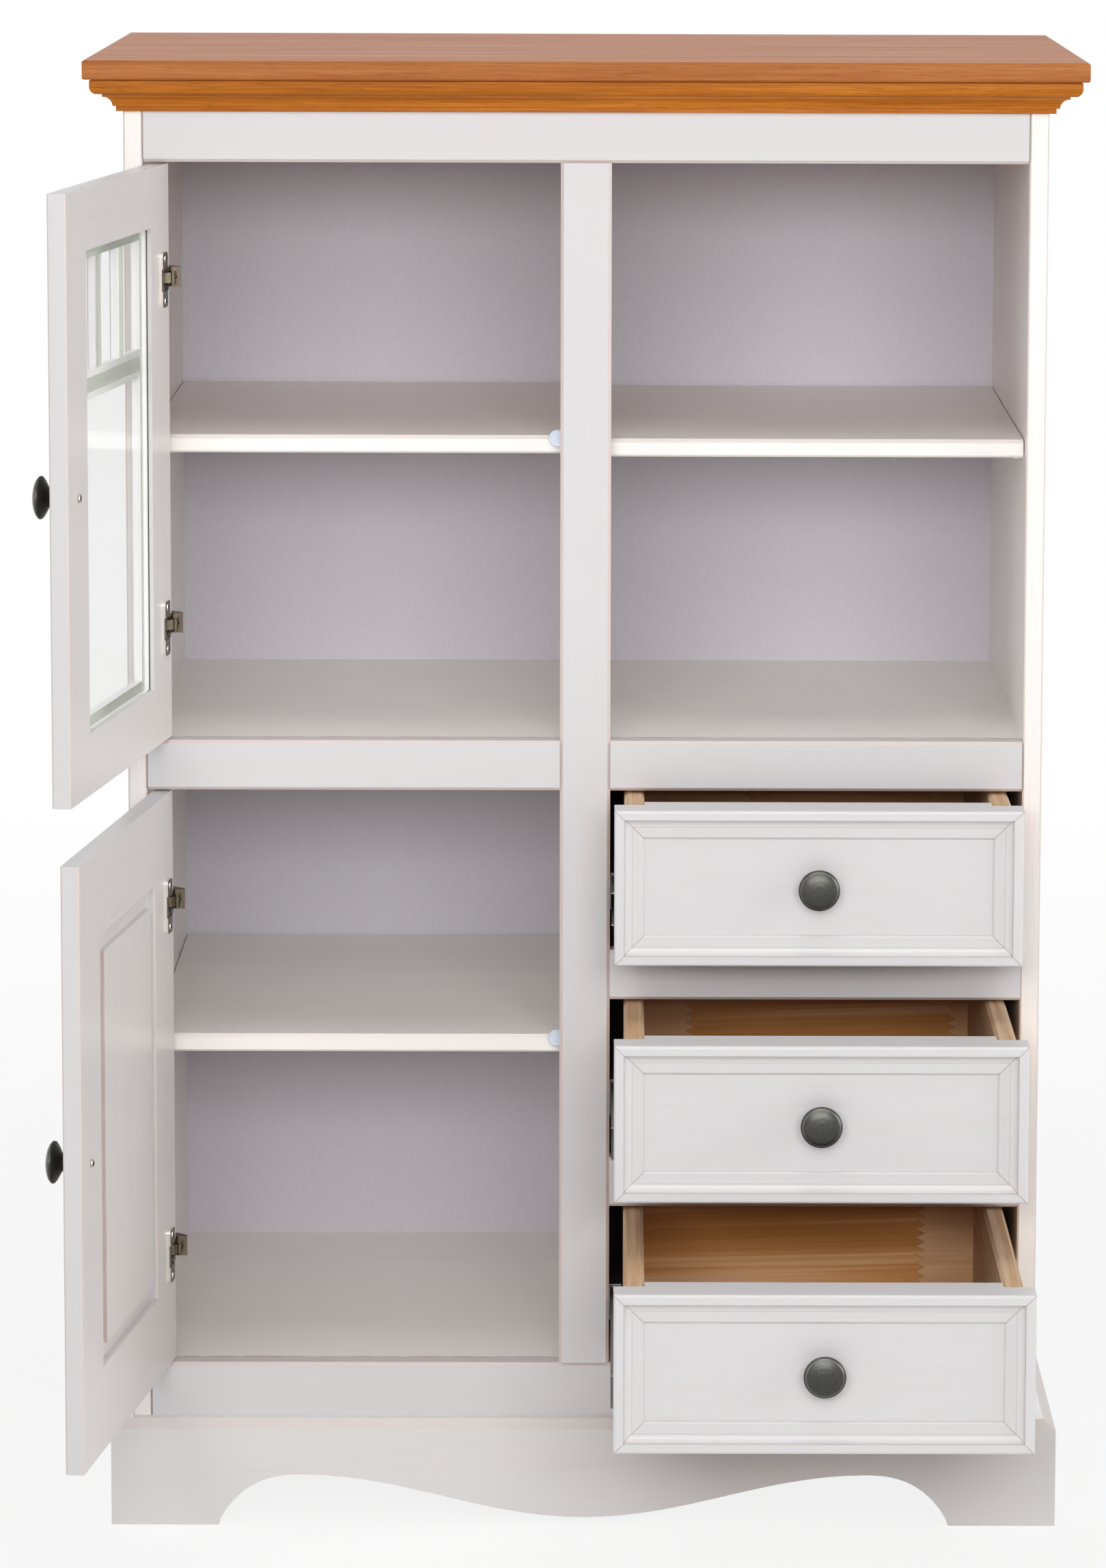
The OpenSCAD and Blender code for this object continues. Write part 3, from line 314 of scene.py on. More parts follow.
def end_seam_shadows(x):
    """Painted shadow 0.7 mm wide in the seams at a rail's ends, where it meets the side panels at x to the
    left and right.
    """
    def lines(t, place):
        off = distance(t, place_parts(t)[0])
        share = add(t, "ShaderNodeMapRange", {0: off, 1: x - 0.9 * MM, 2: x - 0.5 * MM, 3: 0.0, 4: 0.85})
        return share, linear(SEAM_SHADOW_TONE)
    return lines


def thin_walls(door, most):
    """Bare wood on the walls that face a door's free edge, where the brush leaves little lacquer."""
    def lines(t, place):
        parts = add(t, "ShaderNodeSeparateXYZ", {0: facing(t, DOORS[door]["turn"])})
        wall = add(t, "ShaderNodeMapRange", {0: parts.outputs[0], 1: 0.7, 2: 0.9, 3: 0.0, 4: most})
        streaky = grain(t, place, 3, 40, 3.0)
        streaky = add(t, "ShaderNodeMapRange", {0: streaky, 1: 0.3, 2: 0.7, 3: 0.55, 4: 1.0})
        return add(t, "ShaderNodeMath", {0: wall, 1: streaky}, operation="MULTIPLY"), linear(BARE_WOOD)
    return lines


def seat_faces(door, gap_share):
    """The faces of a door's frame that the pane lies on, painted a darker grey-green as the shade seen
    behind the pane, and, by the given share, a painted shadow in the gap that runs up beside the pane on the
    walls of its rebate."""
    depth = in_line(door, 0.0, DOOR_SET_BACK + LIP_T)[1]
    middle = in_line(door, DOOR_GAP + DOOR_W / 2, 0.0)[0]
    reach = (DOOR_W / 2 - STILE_W + REBATE_W) / MM
    gap_middle = (PANE_T + PANE_GAP / 2) / MM
    gap_half = PANE_GAP / 2 / MM
    def lines(t, place):
        parts = place_in_line(t, door)
        seat = distance(t, parts[1], depth)
        seat = add(t, "ShaderNodeMapRange", {0: seat, 1: 0.15, 2: 0.35, 3: 1.0, 4: 0.0})
        seat = add(t, "ShaderNodeMath", {0: seat, 1: faces_inwards(t, door)}, operation="MULTIPLY")
        gap = distance(t, parts[1], depth + gap_middle)
        gap = add(t, "ShaderNodeMapRange", {0: gap, 1: gap_half - 0.1, 2: gap_half + 0.1,
                                            3: gap_share, 4: 0.0})
        inside = distance(t, parts[0], middle)
        inside = add(t, "ShaderNodeMath", {0: inside, 1: reach}, operation="LESS_THAN")
        gap = add(t, "ShaderNodeMath", {0: gap, 1: inside}, operation="MULTIPLY")
        colour = add(t, "ShaderNodeMix", {0: gap, 6: linear(PANE_SHADE_GREEN), 7: linear(PANE_GAP_SHADOW)}, data_type="RGBA")
        return add(t, "ShaderNodeMath", {0: seat, 1: gap}, operation="MAXIMUM"), colour.outputs[2]
    return lines


def bar_backs(door):
    """The backs of the glazing bars, painted the grey-green shade seen behind the pane: a low share on their
    margins, and 1 on the strip along the middle of each that is bedded on the pane, 14 mm wide on the level
    bar and 17 mm on the upright ones."""
    top = DOORS[door]["z"][1] - GLASS_RAIL_W
    level = (top - SMALL_LIGHT_H - BAR_W / 2) / MM
    light = (DOOR_W - 2 * STILE_W - 2 * BAR_W) / 3
    uprights = [in_line(door, DOOR_GAP + STILE_W + i * light + (i - 0.5) * BAR_W, 0.0)[0] for i in (1, 2)]
    def lines(t, place):
        parts = place_in_line(t, door)
        strip = distance(t, parts[2], level)
        strip = add(t, "ShaderNodeMapRange", {0: strip, 1: 6.5, 2: 7.1, 3: 1.0, 4: 0.0})
        bar_top = level + BAR_W / MM / 2
        above = add(t, "ShaderNodeMath", {0: parts[2], 1: bar_top}, operation="GREATER_THAN")
        for middle in uprights:
            off = distance(t, parts[0], middle)
            off = add(t, "ShaderNodeMapRange", {0: off, 1: 8.0, 2: 9.0, 3: 1.0, 4: 0.0})
            off = add(t, "ShaderNodeMath", {0: off, 1: above}, operation="MULTIPLY")
            strip = add(t, "ShaderNodeMath", {0: strip, 1: off}, operation="MAXIMUM")
        shade = add(t, "ShaderNodeMapRange", {0: strip, 1: 0.0, 2: 1.0, 3: 0.35, 4: 1.0})
        share = add(t, "ShaderNodeMath", {0: shade, 1: faces_inwards(t, door)}, operation="MULTIPLY")
        return share, linear(PANE_SHADE_GREEN)
    return lines


# Finishes

def wood_finish(t, out, colour, height, depth_mm, roughness, level=0.5):
    """Lacquered or bare wood: its colour and its height come from the grain."""
    bump = add(t, "ShaderNodeBump", {"Strength": 1.0, "Distance": depth_mm * MM, "Height": height})
    shader = add(t, "ShaderNodeBsdfPrincipled", {"Base Color": colour, "Roughness": roughness, "IOR": 1.5,
                                                 "Specular IOR Level": level, "Normal": bump})
    t.links.new(shader.outputs[0], out.inputs["Surface"])


def white_lacquer(name, axis, tone, turn=0.0, edges=0.5, lines=None, outside=None):
    """White satin lacquer sprayed on sanded pine. The eye gets an even, softly shining white through which
    the closed grain shows as faint warm streaks, and pinkish wood where the lacquer draws back from the
    edges. tone is this place's copy of the one white, lighter where shade falls: painted light. outside says
    which faces have the frame's darker tone, for lit faces, instead."""
    m, t, out = new_material(name)
    place = along(t, axis, turn)
    # Latewood lines lie about 1 mm apart and run some 60 mm, in zones 16 mm wide
    fine = grain(t, place, 1.1, 60, 4.0, 0.65)
    zones = grain(t, place, 16, 300, 2.0, 0.5)
    streaks = add(t, "ShaderNodeMapRange", {0: fine, 1: 0.48, 2: 0.74, 3: 0.0, 4: 0.42})
    where = add(t, "ShaderNodeMapRange", {0: zones, 1: 0.35, 2: 0.72, 3: 0.15, 4: 1.0})
    share = add(t, "ShaderNodeMath", {0: streaks, 1: where}, operation="MULTIPLY")
    colour = linear(tone)
    if outside is not None:
        colour = add(t, "ShaderNodeMix", {0: outside(t), 6: colour, 7: linear(FRAME_WHITE)},
                     data_type="RGBA").outputs[2]
    colour = add(t, "ShaderNodeMix", {0: share, 6: colour, 7: linear(GRAIN_STREAK)},
                 data_type="RGBA").outputs[2]
    if edges:
        colour = add(t, "ShaderNodeMix", {0: eased_edges(t, turn, edges), 6: colour, 7: linear(WORN_EDGE)},
                     data_type="RGBA").outputs[2]
    if lines is not None:
        share, shade = lines(t, place)
        colour = add(t, "ShaderNodeMix", {0: share, 6: colour, 7: shade}, data_type="RGBA").outputs[2]
    height = add(t, "ShaderNodeMath", {0: fine, 1: zones}, operation="ADD")
    wood_finish(t, out, colour, height, 0.05, 0.34)
    return m


def honey_pine(name, axis, stops, level, smooth, dull):
    """Pine with a honey stain under satin lacquer. The eye gets straight fine grain, soft golden to reddish
    bands, short dark resin dashes and a sheen that follows the bands."""
    m, t, out = new_material(name)
    place = along(t, axis)
    fine = grain(t, place, 0.9, 70, 4.0, 0.7)
    bands = grain(t, place, 9, 420, 2.0, 0.5)
    colour = add(t, "ShaderNodeValToRGB", {0: weighed(t, bands, 0.4, fine, 0.65)}, stops)
    # Resin dashes are 0.6 mm wide and 15 to 30 mm long; drawn 0.8 mm wide, so that they show
    dashes = grain(t, place, 0.8, 20, 1.0, 0.4)
    dashes = add(t, "ShaderNodeMapRange", {0: dashes, 1: 0.63, 2: 0.74, 3: 0.0, 4: 0.5})
    colour = add(t, "ShaderNodeMix", {0: dashes, 6: colour, 7: linear(RESIN)}, data_type="RGBA").outputs[2]
    rough = add(t, "ShaderNodeMapRange", {0: bands, 1: 0.35, 2: 0.65, 3: smooth, 4: dull})
    wood_finish(t, out, colour, fine, 0.06, rough, level)
    return m


def bare_pine(name, shift=(0.0, 0.0, 0.0)):
    """Sanded bare pine, its grain front to rear. The eye gets a dull pale surface with straight darker lines
    a few millimetres apart."""
    m, t, out = new_material(name)
    place = along(t, "y", shift=shift)
    fine = grain(t, place, 0.8, 50, 4.0, 0.7)
    rings = grain(t, place, 5, 320, 2.0, 0.5)
    colour = add(t, "ShaderNodeValToRGB", {0: weighed(t, rings, 0.6, fine, 0.45)}, PINE)
    wood_finish(t, out, colour, fine, 0.08, 0.6, 0.35)
    return m


def finger_jointed_pine(name, joints_mm, low_edge_mm, shift_mm):
    """Bare pine glued up from lengths. The eye gets broad soft orange bands lying nearly level, which break
    at each joint, a zigzag 8.6 mm long and wide, beyond which the next length is paler, and a pale arris
    along the lower edge."""
    m, t, out = new_material(name)
    place = along(t, "x")
    parts = add(t, "ShaderNodeSeparateXYZ", {0: place})
    zigzag = add(t, "ShaderNodeMath", {0: parts.outputs[2], 1: FINGER / 2}, operation="PINGPONG")
    seam = None
    moved = place
    for joint, sign in joints_mm:
        edge = add(t, "ShaderNodeMath", {0: zigzag, 1: 2.0, 2: joint}, operation="MULTIPLY_ADD")
        past = add(t, "ShaderNodeMath", {0: parts.outputs[0], 1: edge}, operation="SUBTRACT")
        side = "GREATER_THAN" if sign > 0 else "LESS_THAN"
        beyond = add(t, "ShaderNodeMath", {0: past, 1: 0.0}, operation=side)
        # Beyond a joint the grain is that of another place in the noise
        step = add(t, "ShaderNodeCombineXYZ", {
            0: add(t, "ShaderNodeMath", {0: beyond, 1: 311.0 * sign}, operation="MULTIPLY"),
            2: add(t, "ShaderNodeMath", {0: beyond, 1: 137.0}, operation="MULTIPLY")})
        moved = add(t, "ShaderNodeVectorMath", {0: moved, 1: step}, operation="ADD")
        line = add(t, "ShaderNodeMath", {0: past}, operation="ABSOLUTE")
        line = add(t, "ShaderNodeMapRange", {0: line, 1: 0.0, 2: 1.0, 3: 0.5, 4: 0.0})
        if seam is None:
            seam, ends = line, beyond
        else:
            seam = add(t, "ShaderNodeMath", {0: seam, 1: line}, operation="MAXIMUM")
            ends = add(t, "ShaderNodeMath", {0: ends, 1: beyond}, operation="MAXIMUM")
    moved = add(t, "ShaderNodeMapping", {"Vector": moved, "Location": (0, 0, shift_mm),
                                         "Rotation": (0, math.radians(1.6), 0)})
    bands = grain(t, moved, 26, 520, 1.0, 0.4)
    lines = grain(t, moved, 2.4, 420, 3.0, 0.6)
    colour = add(t, "ShaderNodeValToRGB", {0: weighed(t, lines, 0.3, bands, 0.75)}, ORANGE_PINE)
    pale = add(t, "ShaderNodeMath", {0: ends, 1: 0.45}, operation="MULTIPLY")
    low = add(t, "ShaderNodeMapRange", {0: parts.outputs[2], 1: low_edge_mm + 0.8, 2: low_edge_mm + 1.6,
                                        3: 0.8, 4: 0.0})
    for share, code in ((pale, PALE_LENGTH), (seam, GLUE_LINE), (low, PALE_ARRIS)):
        colour = add(t, "ShaderNodeMix", {0: share, 6: colour, 7: linear(code)}, data_type="RGBA").outputs[2]
    wood_finish(t, out, colour, lines, 0.06, 0.6, 0.35)
    return m


def faced_board(name):
    """White paper on thin hardboard. The eye gets a cool even white with a faint mottle 5 mm across."""
    m, t, out = new_material(name)
    mottle = grain(t, along(t, "z"), 5, 6)
    colour = add(t, "ShaderNodeValToRGB", {0: mottle}, [(0.3, "#D5D2DA"), (0.7, "#D9D6DE")])
    wood_finish(t, out, colour, mottle, 0.01, 0.45)
    return m


def hardboard(name):
    """Wet-pressed brown hardboard. The eye gets a dull red-brown with darker fibres 1.5 mm wide."""
    m, t, out = new_material(name)
    fleck = grain(t, along(t, "x"), 1.5, 4, 5.0, 0.75)
    stops = [(0.25, "#7A452C"), (0.5, "#945534"), (0.8, "#AE7048")]
    colour = add(t, "ShaderNodeValToRGB", {0: fleck}, stops)
    wood_finish(t, out, colour, fleck, 0.06, 0.55)
    return m


def plated_metal(name, tone, patch, share, patch_mm, roughness, depth_mm=0.01, worn_and_glint=False, rolled=None):
    """Steel or zinc with a bath-plated or patinated skin. The eye gets a metal sheen that varies in patches,
    and on the knobs a brighter ring along the rim, partly where the patina is rubbed off and partly a
    painted highlight, from an attribute of their mesh.
    rolled is the angle of a door whose hinge flanges get a painted highlight on their rolled walls, round
    faces painted darker as shade."""
    m, t, out = new_material(name)
    patches = grain(t, along(t, "x"), patch_mm, patch_mm, 4.0, 0.65)
    amount = add(t, "ShaderNodeMapRange", {0: patches, 1: 0.4, 2: 0.7, 3: 0.0, 4: share})
    colour = add(t, "ShaderNodeMix", {0: amount, 6: linear(tone), 7: linear(patch)},
                 data_type="RGBA").outputs[2]
    # Brighter ring on the knobs' rims: partly rubbed patina, partly painted highlight
    if worn_and_glint:
        rubbed = add(t, "ShaderNodeAttribute", attribute_name="wear_and_glint").outputs["Fac"]
        colour = add(t, "ShaderNodeMix", {0: rubbed, 6: colour, 7: linear(RIM_RUBBED_AND_GLINT)},
                     data_type="RGBA").outputs[2]
    # Painted highlight on walls that face the door's free edge
    if rolled is not None:
        parts = add(t, "ShaderNodeSeparateXYZ", {0: facing(t, rolled)})
        wall = add(t, "ShaderNodeMapRange", {0: parts.outputs[1], 1: 0.3, 2: 0.8, 3: 1.0, 4: 0.0})
        colour = add(t, "ShaderNodeMix", {0: wall, 6: colour, 7: linear(ROLLED_WALL_HIGHLIGHT)},
                     data_type="RGBA").outputs[2]
    gloss = add(t, "ShaderNodeMapRange", {0: patches, 1: 0.3, 2: 0.7,
                                          3: roughness * 0.8, 4: roughness * 1.2})
    bump = add(t, "ShaderNodeBump", {"Strength": 1.0, "Distance": depth_mm * MM, "Height": patches})
    shader = add(t, "ShaderNodeBsdfPrincipled", {"Metallic": 1.0, "Base Color": colour, "Roughness": gloss,
                                                 "Normal": bump})
    t.links.new(shader.outputs[0], out.inputs["Surface"])
    return m


def float_glass(name):
    """Clear float glass, 4 mm. The eye gets a clean view through with a faint green tint and a mirrored
    strip near the rebate. The body bends no light, as the real pane hardly shifts what lies behind it, and
    the two faces mirror as a coat whose IOR is brought down from 1.52 to the strength that shows. Light
    falls through it without a dark shadow."""
    m, t, out = new_material(name)
    pane = add(t, "ShaderNodeBsdfPrincipled", {"Base Color": linear(GLASS_TINT), "Roughness": 0.0,
                                               "IOR": 1.0, "Transmission Weight": 1.0,
                                               "Coat Weight": 1.0, "Coat Roughness": 0.0, "Coat IOR": 1.09})
    clear = add(t, "ShaderNodeBsdfTransparent", {"Color": linear(GLASS_TINT)})
    path = add(t, "ShaderNodeLightPath")
    mix = add(t, "ShaderNodeMixShader", {0: path.outputs["Is Shadow Ray"], 1: pane, 2: clear})
    t.links.new(mix.outputs[0], out.inputs["Surface"])
    return m


def soft_plastic(name, tone, streak):
    """Injection-moulded soft plastic. The eye gets a milky, slightly bluish disc with a fine eroded skin."""
    m, t, out = new_material(name)
    skin = grain(t, along(t, "x"), 0.8, 0.8, 2.0, 0.5)
    share = add(t, "ShaderNodeMapRange", {0: skin, 1: 0.3, 2: 0.7, 3: 0.0, 4: 0.5})
    colour = add(t, "ShaderNodeMix", {0: share, 6: linear(tone), 7: linear(streak)},
                 data_type="RGBA").outputs[2]
    bump = add(t, "ShaderNodeBump", {"Strength": 1.0, "Distance": 0.03 * MM, "Height": skin})
    shader = add(t, "ShaderNodeBsdfPrincipled", {"Base Color": colour, "Roughness": 0.3, "IOR": 1.46,
                                                 "Normal": bump, "Subsurface Weight": 0.15,
                                                 "Subsurface Scale": 0.002})
    t.links.new(shader.outputs[0], out.inputs["Surface"])
    return m


def dress(names, material):
    """Gives each CAD node one finish."""
    for n in names:
        o = nodes[n]
        o.data.materials.clear()
        o.data.materials.append(material)


# Finishes that several nodes or pieces share
nickel = plated_metal("bright nickel-plated steel", "#D2CCC2", "#A89F92", 0.5, 2.0, 0.16)
# The hinge arms and links get a dark brown copy of the bright nickel above: painted shade
shaded_nickel = plated_metal("dull nickel-plated steel of the hinge arms", "#73695A", "#5A5145", 0.5, 3.0,
                           0.30)
zinc = plated_metal("zinc-plated steel", "#A9ACB0", "#8F9296", 0.5, 5.0, 0.38)
pewter = plated_metal("patinated zinc casting of the knobs", "#474744", "#5F5E59", 0.4, 2.4, 0.36, 0.02,
                      worn_and_glint=True)
# Near-black plated steel: painted shadow in the screws' recesses and the hinge arms' slots
recess_shadow = plated_metal("shadow in a screw's recess", "#161514", "#262422", 0.5, 1.0, 0.6)
bumper = soft_plastic("milky bumper plastic", "#CFDAE6", "#E6EDF4")
front_x = white_lacquer("white satin lacquer on the drawer fronts and their rails", "x", DRAWER_WHITE)
brown_board = hardboard("brown hardboard")

# The cabinet
dress(["top_board"], honey_pine("honey-stained pine of the top", "x", HONEY, 0.20, 0.36, 0.50))
dress(["cornice_front"], honey_pine("honey-stained pine of the cornice", "x", HONEY_DEEP, 0.12, 0.30, 0.42))
dress(["cornice_returns"], honey_pine("honey-stained pine of the cornice returns", "y", HONEY_DEEP,
                                      0.12, 0.30, 0.42))
dress(["top_rail", "mid_rails", "bottom_rail"],
      white_lacquer("white satin lacquer on the rails between the sides", "x", FRAME_WHITE,
                    lines=end_seam_shadows(INNER_HALF)))
dress(["drawer_rails", "rear_rail"], front_x)
dress(["centre_stile"], white_lacquer("white satin lacquer on the frame, grain upwards", "z", FRAME_WHITE))
dress(["skirt_front"], white_lacquer("white satin lacquer on the skirt", "x", SKIRT_WHITE, edges=0.25))
dress(["skirt_returns"], white_lacquer("white satin lacquer on the skirt returns", "y", SKIRT_WHITE,
                                       edges=0.25))
dress(["shelf_upper_left", "shelf_upper_right", "shelf_lower_left"],
      white_lacquer("white satin lacquer on the shelves", "x", BOARD_WHITE, edges=0.2))
rail_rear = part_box("mid_boards")[0].y
dress(["mid_boards", "bottom_board"], white_lacquer("white satin lacquer on the fixed boards", "x",
                                                    BOARD_WHITE, lines=joint_lines(rail_rear)))
dress(["side_left", "side_right", "divider"], white_lacquer("white satin lacquer on the side panels", "z",
                                                            BOARD_WHITE, outside=outer_sides))
dress(["back_panels"], faced_board("white-faced back board"))
dress(["shelf_pins"], nickel)
dress(["hinge_arms", "glass_door_links", "panel_door_links"], shaded_nickel)
dress(["cabinet_runners"], zinc)
dress(["door_stops"], bumper)
dress(["runner_battens"], bare_pine("sanded pine, grain front to rear"))

# The doors
seats = {"glass_door": (seat_faces("glass_door", 1.0), seat_faces("glass_door", 0.0)),
         "panel_door": (None, None)}
for door, facts in DOORS.items():
    turn = facts["turn"]
    beside, above = seats[door]
    # The cups' nickel is a dark brown copy, painted shade, with a painted highlight on the flanges' rolled
    # walls
    dress([f"{door}_cups"], plated_metal(f"nickel-plated cups of the {door}", "#61574B", "#4A4239", 0.5, 2.0,
                                         0.24, rolled=turn))
    dress([f"{door}_stiles"], white_lacquer(f"white satin lacquer on the {door} stiles", "z", DOOR_WHITE,
                                            turn, lines=beside, outside=outer_door(door)))
    dress([f"{door}_rails"], white_lacquer(f"white satin lacquer on the {door} rails", "x", DOOR_WHITE,
                                           turn, lines=above, outside=outer_door(door)))
dress(["glass_pane"], float_glass("clear float glass"))
dress(["glazing_bars"], white_lacquer("white satin lacquer on the glazing bars", "z", BAR_WHITE,
                                      DOORS["glass_door"]["turn"], edges=0.2, lines=bar_backs("glass_door"),
                                      outside=outer_door("glass_door")))
dress(["door_panel"], white_lacquer("white satin lacquer on the door panel", "z", DOOR_WHITE,
                                    DOORS["panel_door"]["turn"], lines=thin_walls("panel_door", 0.55),
                                    outside=outer_door("panel_door")))

# The drawers, each cut from another place in the wood
for i, name in enumerate(DRAWERS):
    low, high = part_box(f"{name}_drawer_moulding")
    half = ((high.x - low.x) / 2, 1.0, (high.z - low.z) / 2)
    middle = ((low.x + high.x) / 2, 0.0, (low.z + high.z) / 2)
    edged = white_lacquer(f"white satin lacquer on the {name} drawer moulding", "x", DRAWER_WHITE, edges=0.0,
                          lines=moulding_lines(middle, half))
    low_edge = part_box(f"{name}_drawer_back")[0].z / MM
    jointed = finger_jointed_pine(f"finger-jointed pine of the {name} drawer back", JOINTS[name], low_edge,
                                  55.0 * i)
    sanded = bare_pine(f"sanded pine of the {name} drawer sides", (90.0 * i, 70.0 * i, 0.0))
    for part, material in (("moulding", edged), ("front", front_x), ("sides", sanded), ("back", jointed),
                           ("bottom", brown_board), ("runners", zinc)):
        dress([f"{name}_drawer_{part}"], material)


# Shapes

def surface(name, points, faces, material, smooth=True, wear_and_glint=None):
    """Mesh object at the origin from points in metres and faces, each a tuple of point numbers.
    wear is a value for each point, kept as the mesh's wear attribute."""
    mesh = bpy.data.meshes.new(name)
    mesh.from_pydata(np.asarray(points, float).tolist(), [], [tuple(int(i) for i in f) for f in faces])
    mesh.polygons.foreach_set("use_smooth", np.full(len(mesh.polygons), smooth))
    if wear_and_glint is not None:
        values = np.asarray(wear_and_glint, np.float32)
        mesh.attributes.new("wear_and_glint", "FLOAT", "POINT").data.foreach_set("value", values)
    mesh.materials.append(material)
    mesh.update()
    o = bpy.data.objects.new(name, mesh)
    bpy.context.scene.collection.objects.link(o)
    return o


def turned(profile, steps):
    """Surface of revolution about Z: profile is (radius, height) from one pole to the other, both with
    radius 0. A point is (r cos a, r sin a, h). Each end closes in a fan on its pole."""
    p = np.asarray(profile, float)
    a = np.arange(steps) * 2 * np.pi / steps
    inner = p[1:-1]
    ring = np.stack([inner[:, 0, None] * np.cos(a), inner[:, 0, None] * np.sin(a),
                     np.repeat(inner[:, 1, None], steps, 1)], -1).reshape(-1, 3)
    points = np.vstack([ring, [0, 0, p[0, 1]], [0, 0, p[-1, 1]]])
    r = np.arange(len(inner) - 1)[:, None] * steps
    k = np.arange(steps)
    d = (k + 1) % steps
    quads = np.stack([r + k, r + d, r + steps + d, r + steps + k], -1).reshape(-1, 4)
    n = len(ring)
    last = n - steps
    first_fan = np.stack([d, k, np.full(steps, n)], -1)
    last_fan = np.stack([last + k, last + d, np.full(steps, n + 1)], -1)
    return points, quads.tolist() + first_fan.tolist() + last_fan.tolist()


def rounded(points, radius, steps=4):
    """A profile with each inner corner replaced by a short curve, quadratic between its two tangent
    points."""
    p = np.asarray(points, float)
    out = [p[0]]
    for before, at, after in zip(p[:-2], p[1:-1], p[2:]):
        u = before - at
        v = after - at
        r = min(radius, 0.45 * np.linalg.norm(u), 0.45 * np.linalg.norm(v))
        start = at + u / np.linalg.norm(u) * r
        end = at + v / np.linalg.norm(v) * r
        s = np.linspace(0, 1, steps)[:, None]
        out.extend((1 - s) ** 2 * start + 2 * s * (1 - s) * at + s ** 2 * end)
    out.append(p[-1])
    return np.array(out)


def joined(name, parts, material, smooth=True):
    """One mesh from several lists of points and faces."""
    counts = np.cumsum([0] + [len(p) for p, f in parts])
    points = np.vstack([p for p, f in parts])
    faces = [[i + int(first) for i in q] for (p, f), first in zip(parts, counts) for q in f]
    return surface(name, points, faces, material, smooth)


def forwards(points):
    """Turns a shape drawn up along Z so that it stands out to the front: (x, y, z) to (x, -z, y)."""
    p = np.asarray(points, float)
    return np.stack([p[:, 0], -p[:, 2], p[:, 1]], 1)


def rearwards(points):
    """Turns a shape drawn up along Z so that it stands out to the rear: (x, y, z) to (x, z, -y)."""
    p = np.asarray(points, float)
    return np.stack([p[:, 0], p[:, 2], -p[:, 1]], 1)


def stretched(points, half_length):
    """A turned shape drawn out along X: each half is moved outwards, which makes its circles stadiums."""
    p = np.asarray(points, float)
    return p + np.sign(np.round(p, 7))[:, :1] * [half_length, 0, 0]


def cross_recess(arm, half, low, high):
    """The shadow in the cross of a screw's head as a thin dark star, painted shadow: a cross outline drawn
    up along Z from low to high.
    """
    w, h = half, arm
    outline = np.array([(-w, -h), (w, -h), (w, -w), (h, -w), (h, w), (w, w),
                        (w, h), (-w, h), (-w, w), (-h, w), (-h, -w), (-w, -w)])
    points = np.vstack([np.column_stack([outline, np.full(12, z)]) for z in (low, high)])
    k = np.arange(12)
    d = (k + 1) % 12
    walls = np.stack([k, d, 12 + d, 12 + k], -1).tolist()
    return points, [list(range(12, 24)), list(range(11, -1, -1))] + walls


# Profiles, as radius and height; a turned shape has the more steps round, the wider it is
KNOB_STEPS = 72
BUMPER_STEPS = 48
SMALL_STEPS = 32
KNOB_PROFILE = rounded([
    (0, 0), (8.5, 0), (8.5, 1.8), (7.2, 3.0), (6.3, 4.4), (6.4, 7.2), (9.4, 10.2), (15.2, 13.4),
    (17.8, 15.0), (19.1, 16.3), (19.6, 17.4), (19.2, 18.5), (17.9, 19.2), (17.4, 20.1), (14.4, 21.5),
    (10.2, 22.7), (5.2, 23.5), (0, 23.75)], 0.9) * MM
SCREW_PROFILE = rounded([
    (0, -9), (2.0, -9), (2.0, 0.0), (3.0, 0.15), (4.0, 0.6), (3.9, 1.3), (3.0, 2.0), (1.5, 2.4),
    (0, 2.5)], 0.3) * MM
BUMPER_PROFILE = rounded([
    (0, 0), (8.2, 0), (8.2, 2.0), (7.7, 2.9), (7.0, 3.0), (6.4, 2.5), (5.6, 2.35), (0, 2.4)], 0.4) * MM
SLOT_PROFILE = np.array([(0, -0.3), (1.6, -0.3), (1.6, 0.12), (0, 0.12)]) * MM
PIN_PROFILE = rounded([(0, 0), (0.95, 0), (0.95, 0.35), (0.6, 0.6), (0, 0.7)], 0.2) * MM
# The knob is rubbed bright along the ridge inside its rim, by radius, and only on its front; this ring is
# partly rubbed patina and partly a painted highlight
RIDGE_MM = 17.5
RIDGE_HALF_MM = 0.35
KNOB_FRONT = 18 * MM


def knob_pieces(name, body, node, place, front_y, rear_y):
    """Turned knob on a front and its screw's head on the inner face. place moves points to where the front
    stands."""
    points, faces = turned(KNOB_PROFILE, KNOB_STEPS)
    worn_and_glint = 0.9 * np.exp(-((KNOB_PROFILE[:, 0] / MM - RIDGE_MM) / RIDGE_HALF_MM) ** 2)
    worn_and_glint = worn_and_glint * (KNOB_PROFILE[:, 1] > KNOB_FRONT)
    wear_and_glint = np.concatenate([np.repeat(worn_and_glint[1:-1], KNOB_STEPS), worn_and_glint[:1], worn_and_glint[-1:]])
    knob = surface(f"{name}_turning", place(forwards(points) + [0, front_y, 0]), faces, pewter, True, wear_and_glint)
    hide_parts(node)
    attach(knob, body)
    points, faces = turned(SCREW_PROFILE, SMALL_STEPS)
    screw = surface(f"{name}_screw", place(rearwards(points) + [0, rear_y, 0]), faces, nickel)
    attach(screw, body)
    points, faces = cross_recess(2.3 * MM, 0.42 * MM, 1.9 * MM, 2.6 * MM)
    cross = surface(f"{name}_screw_recess_shadow", place(rearwards(points) + [0, rear_y, 0]), faces, recess_shadow, False)
    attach(cross, body)


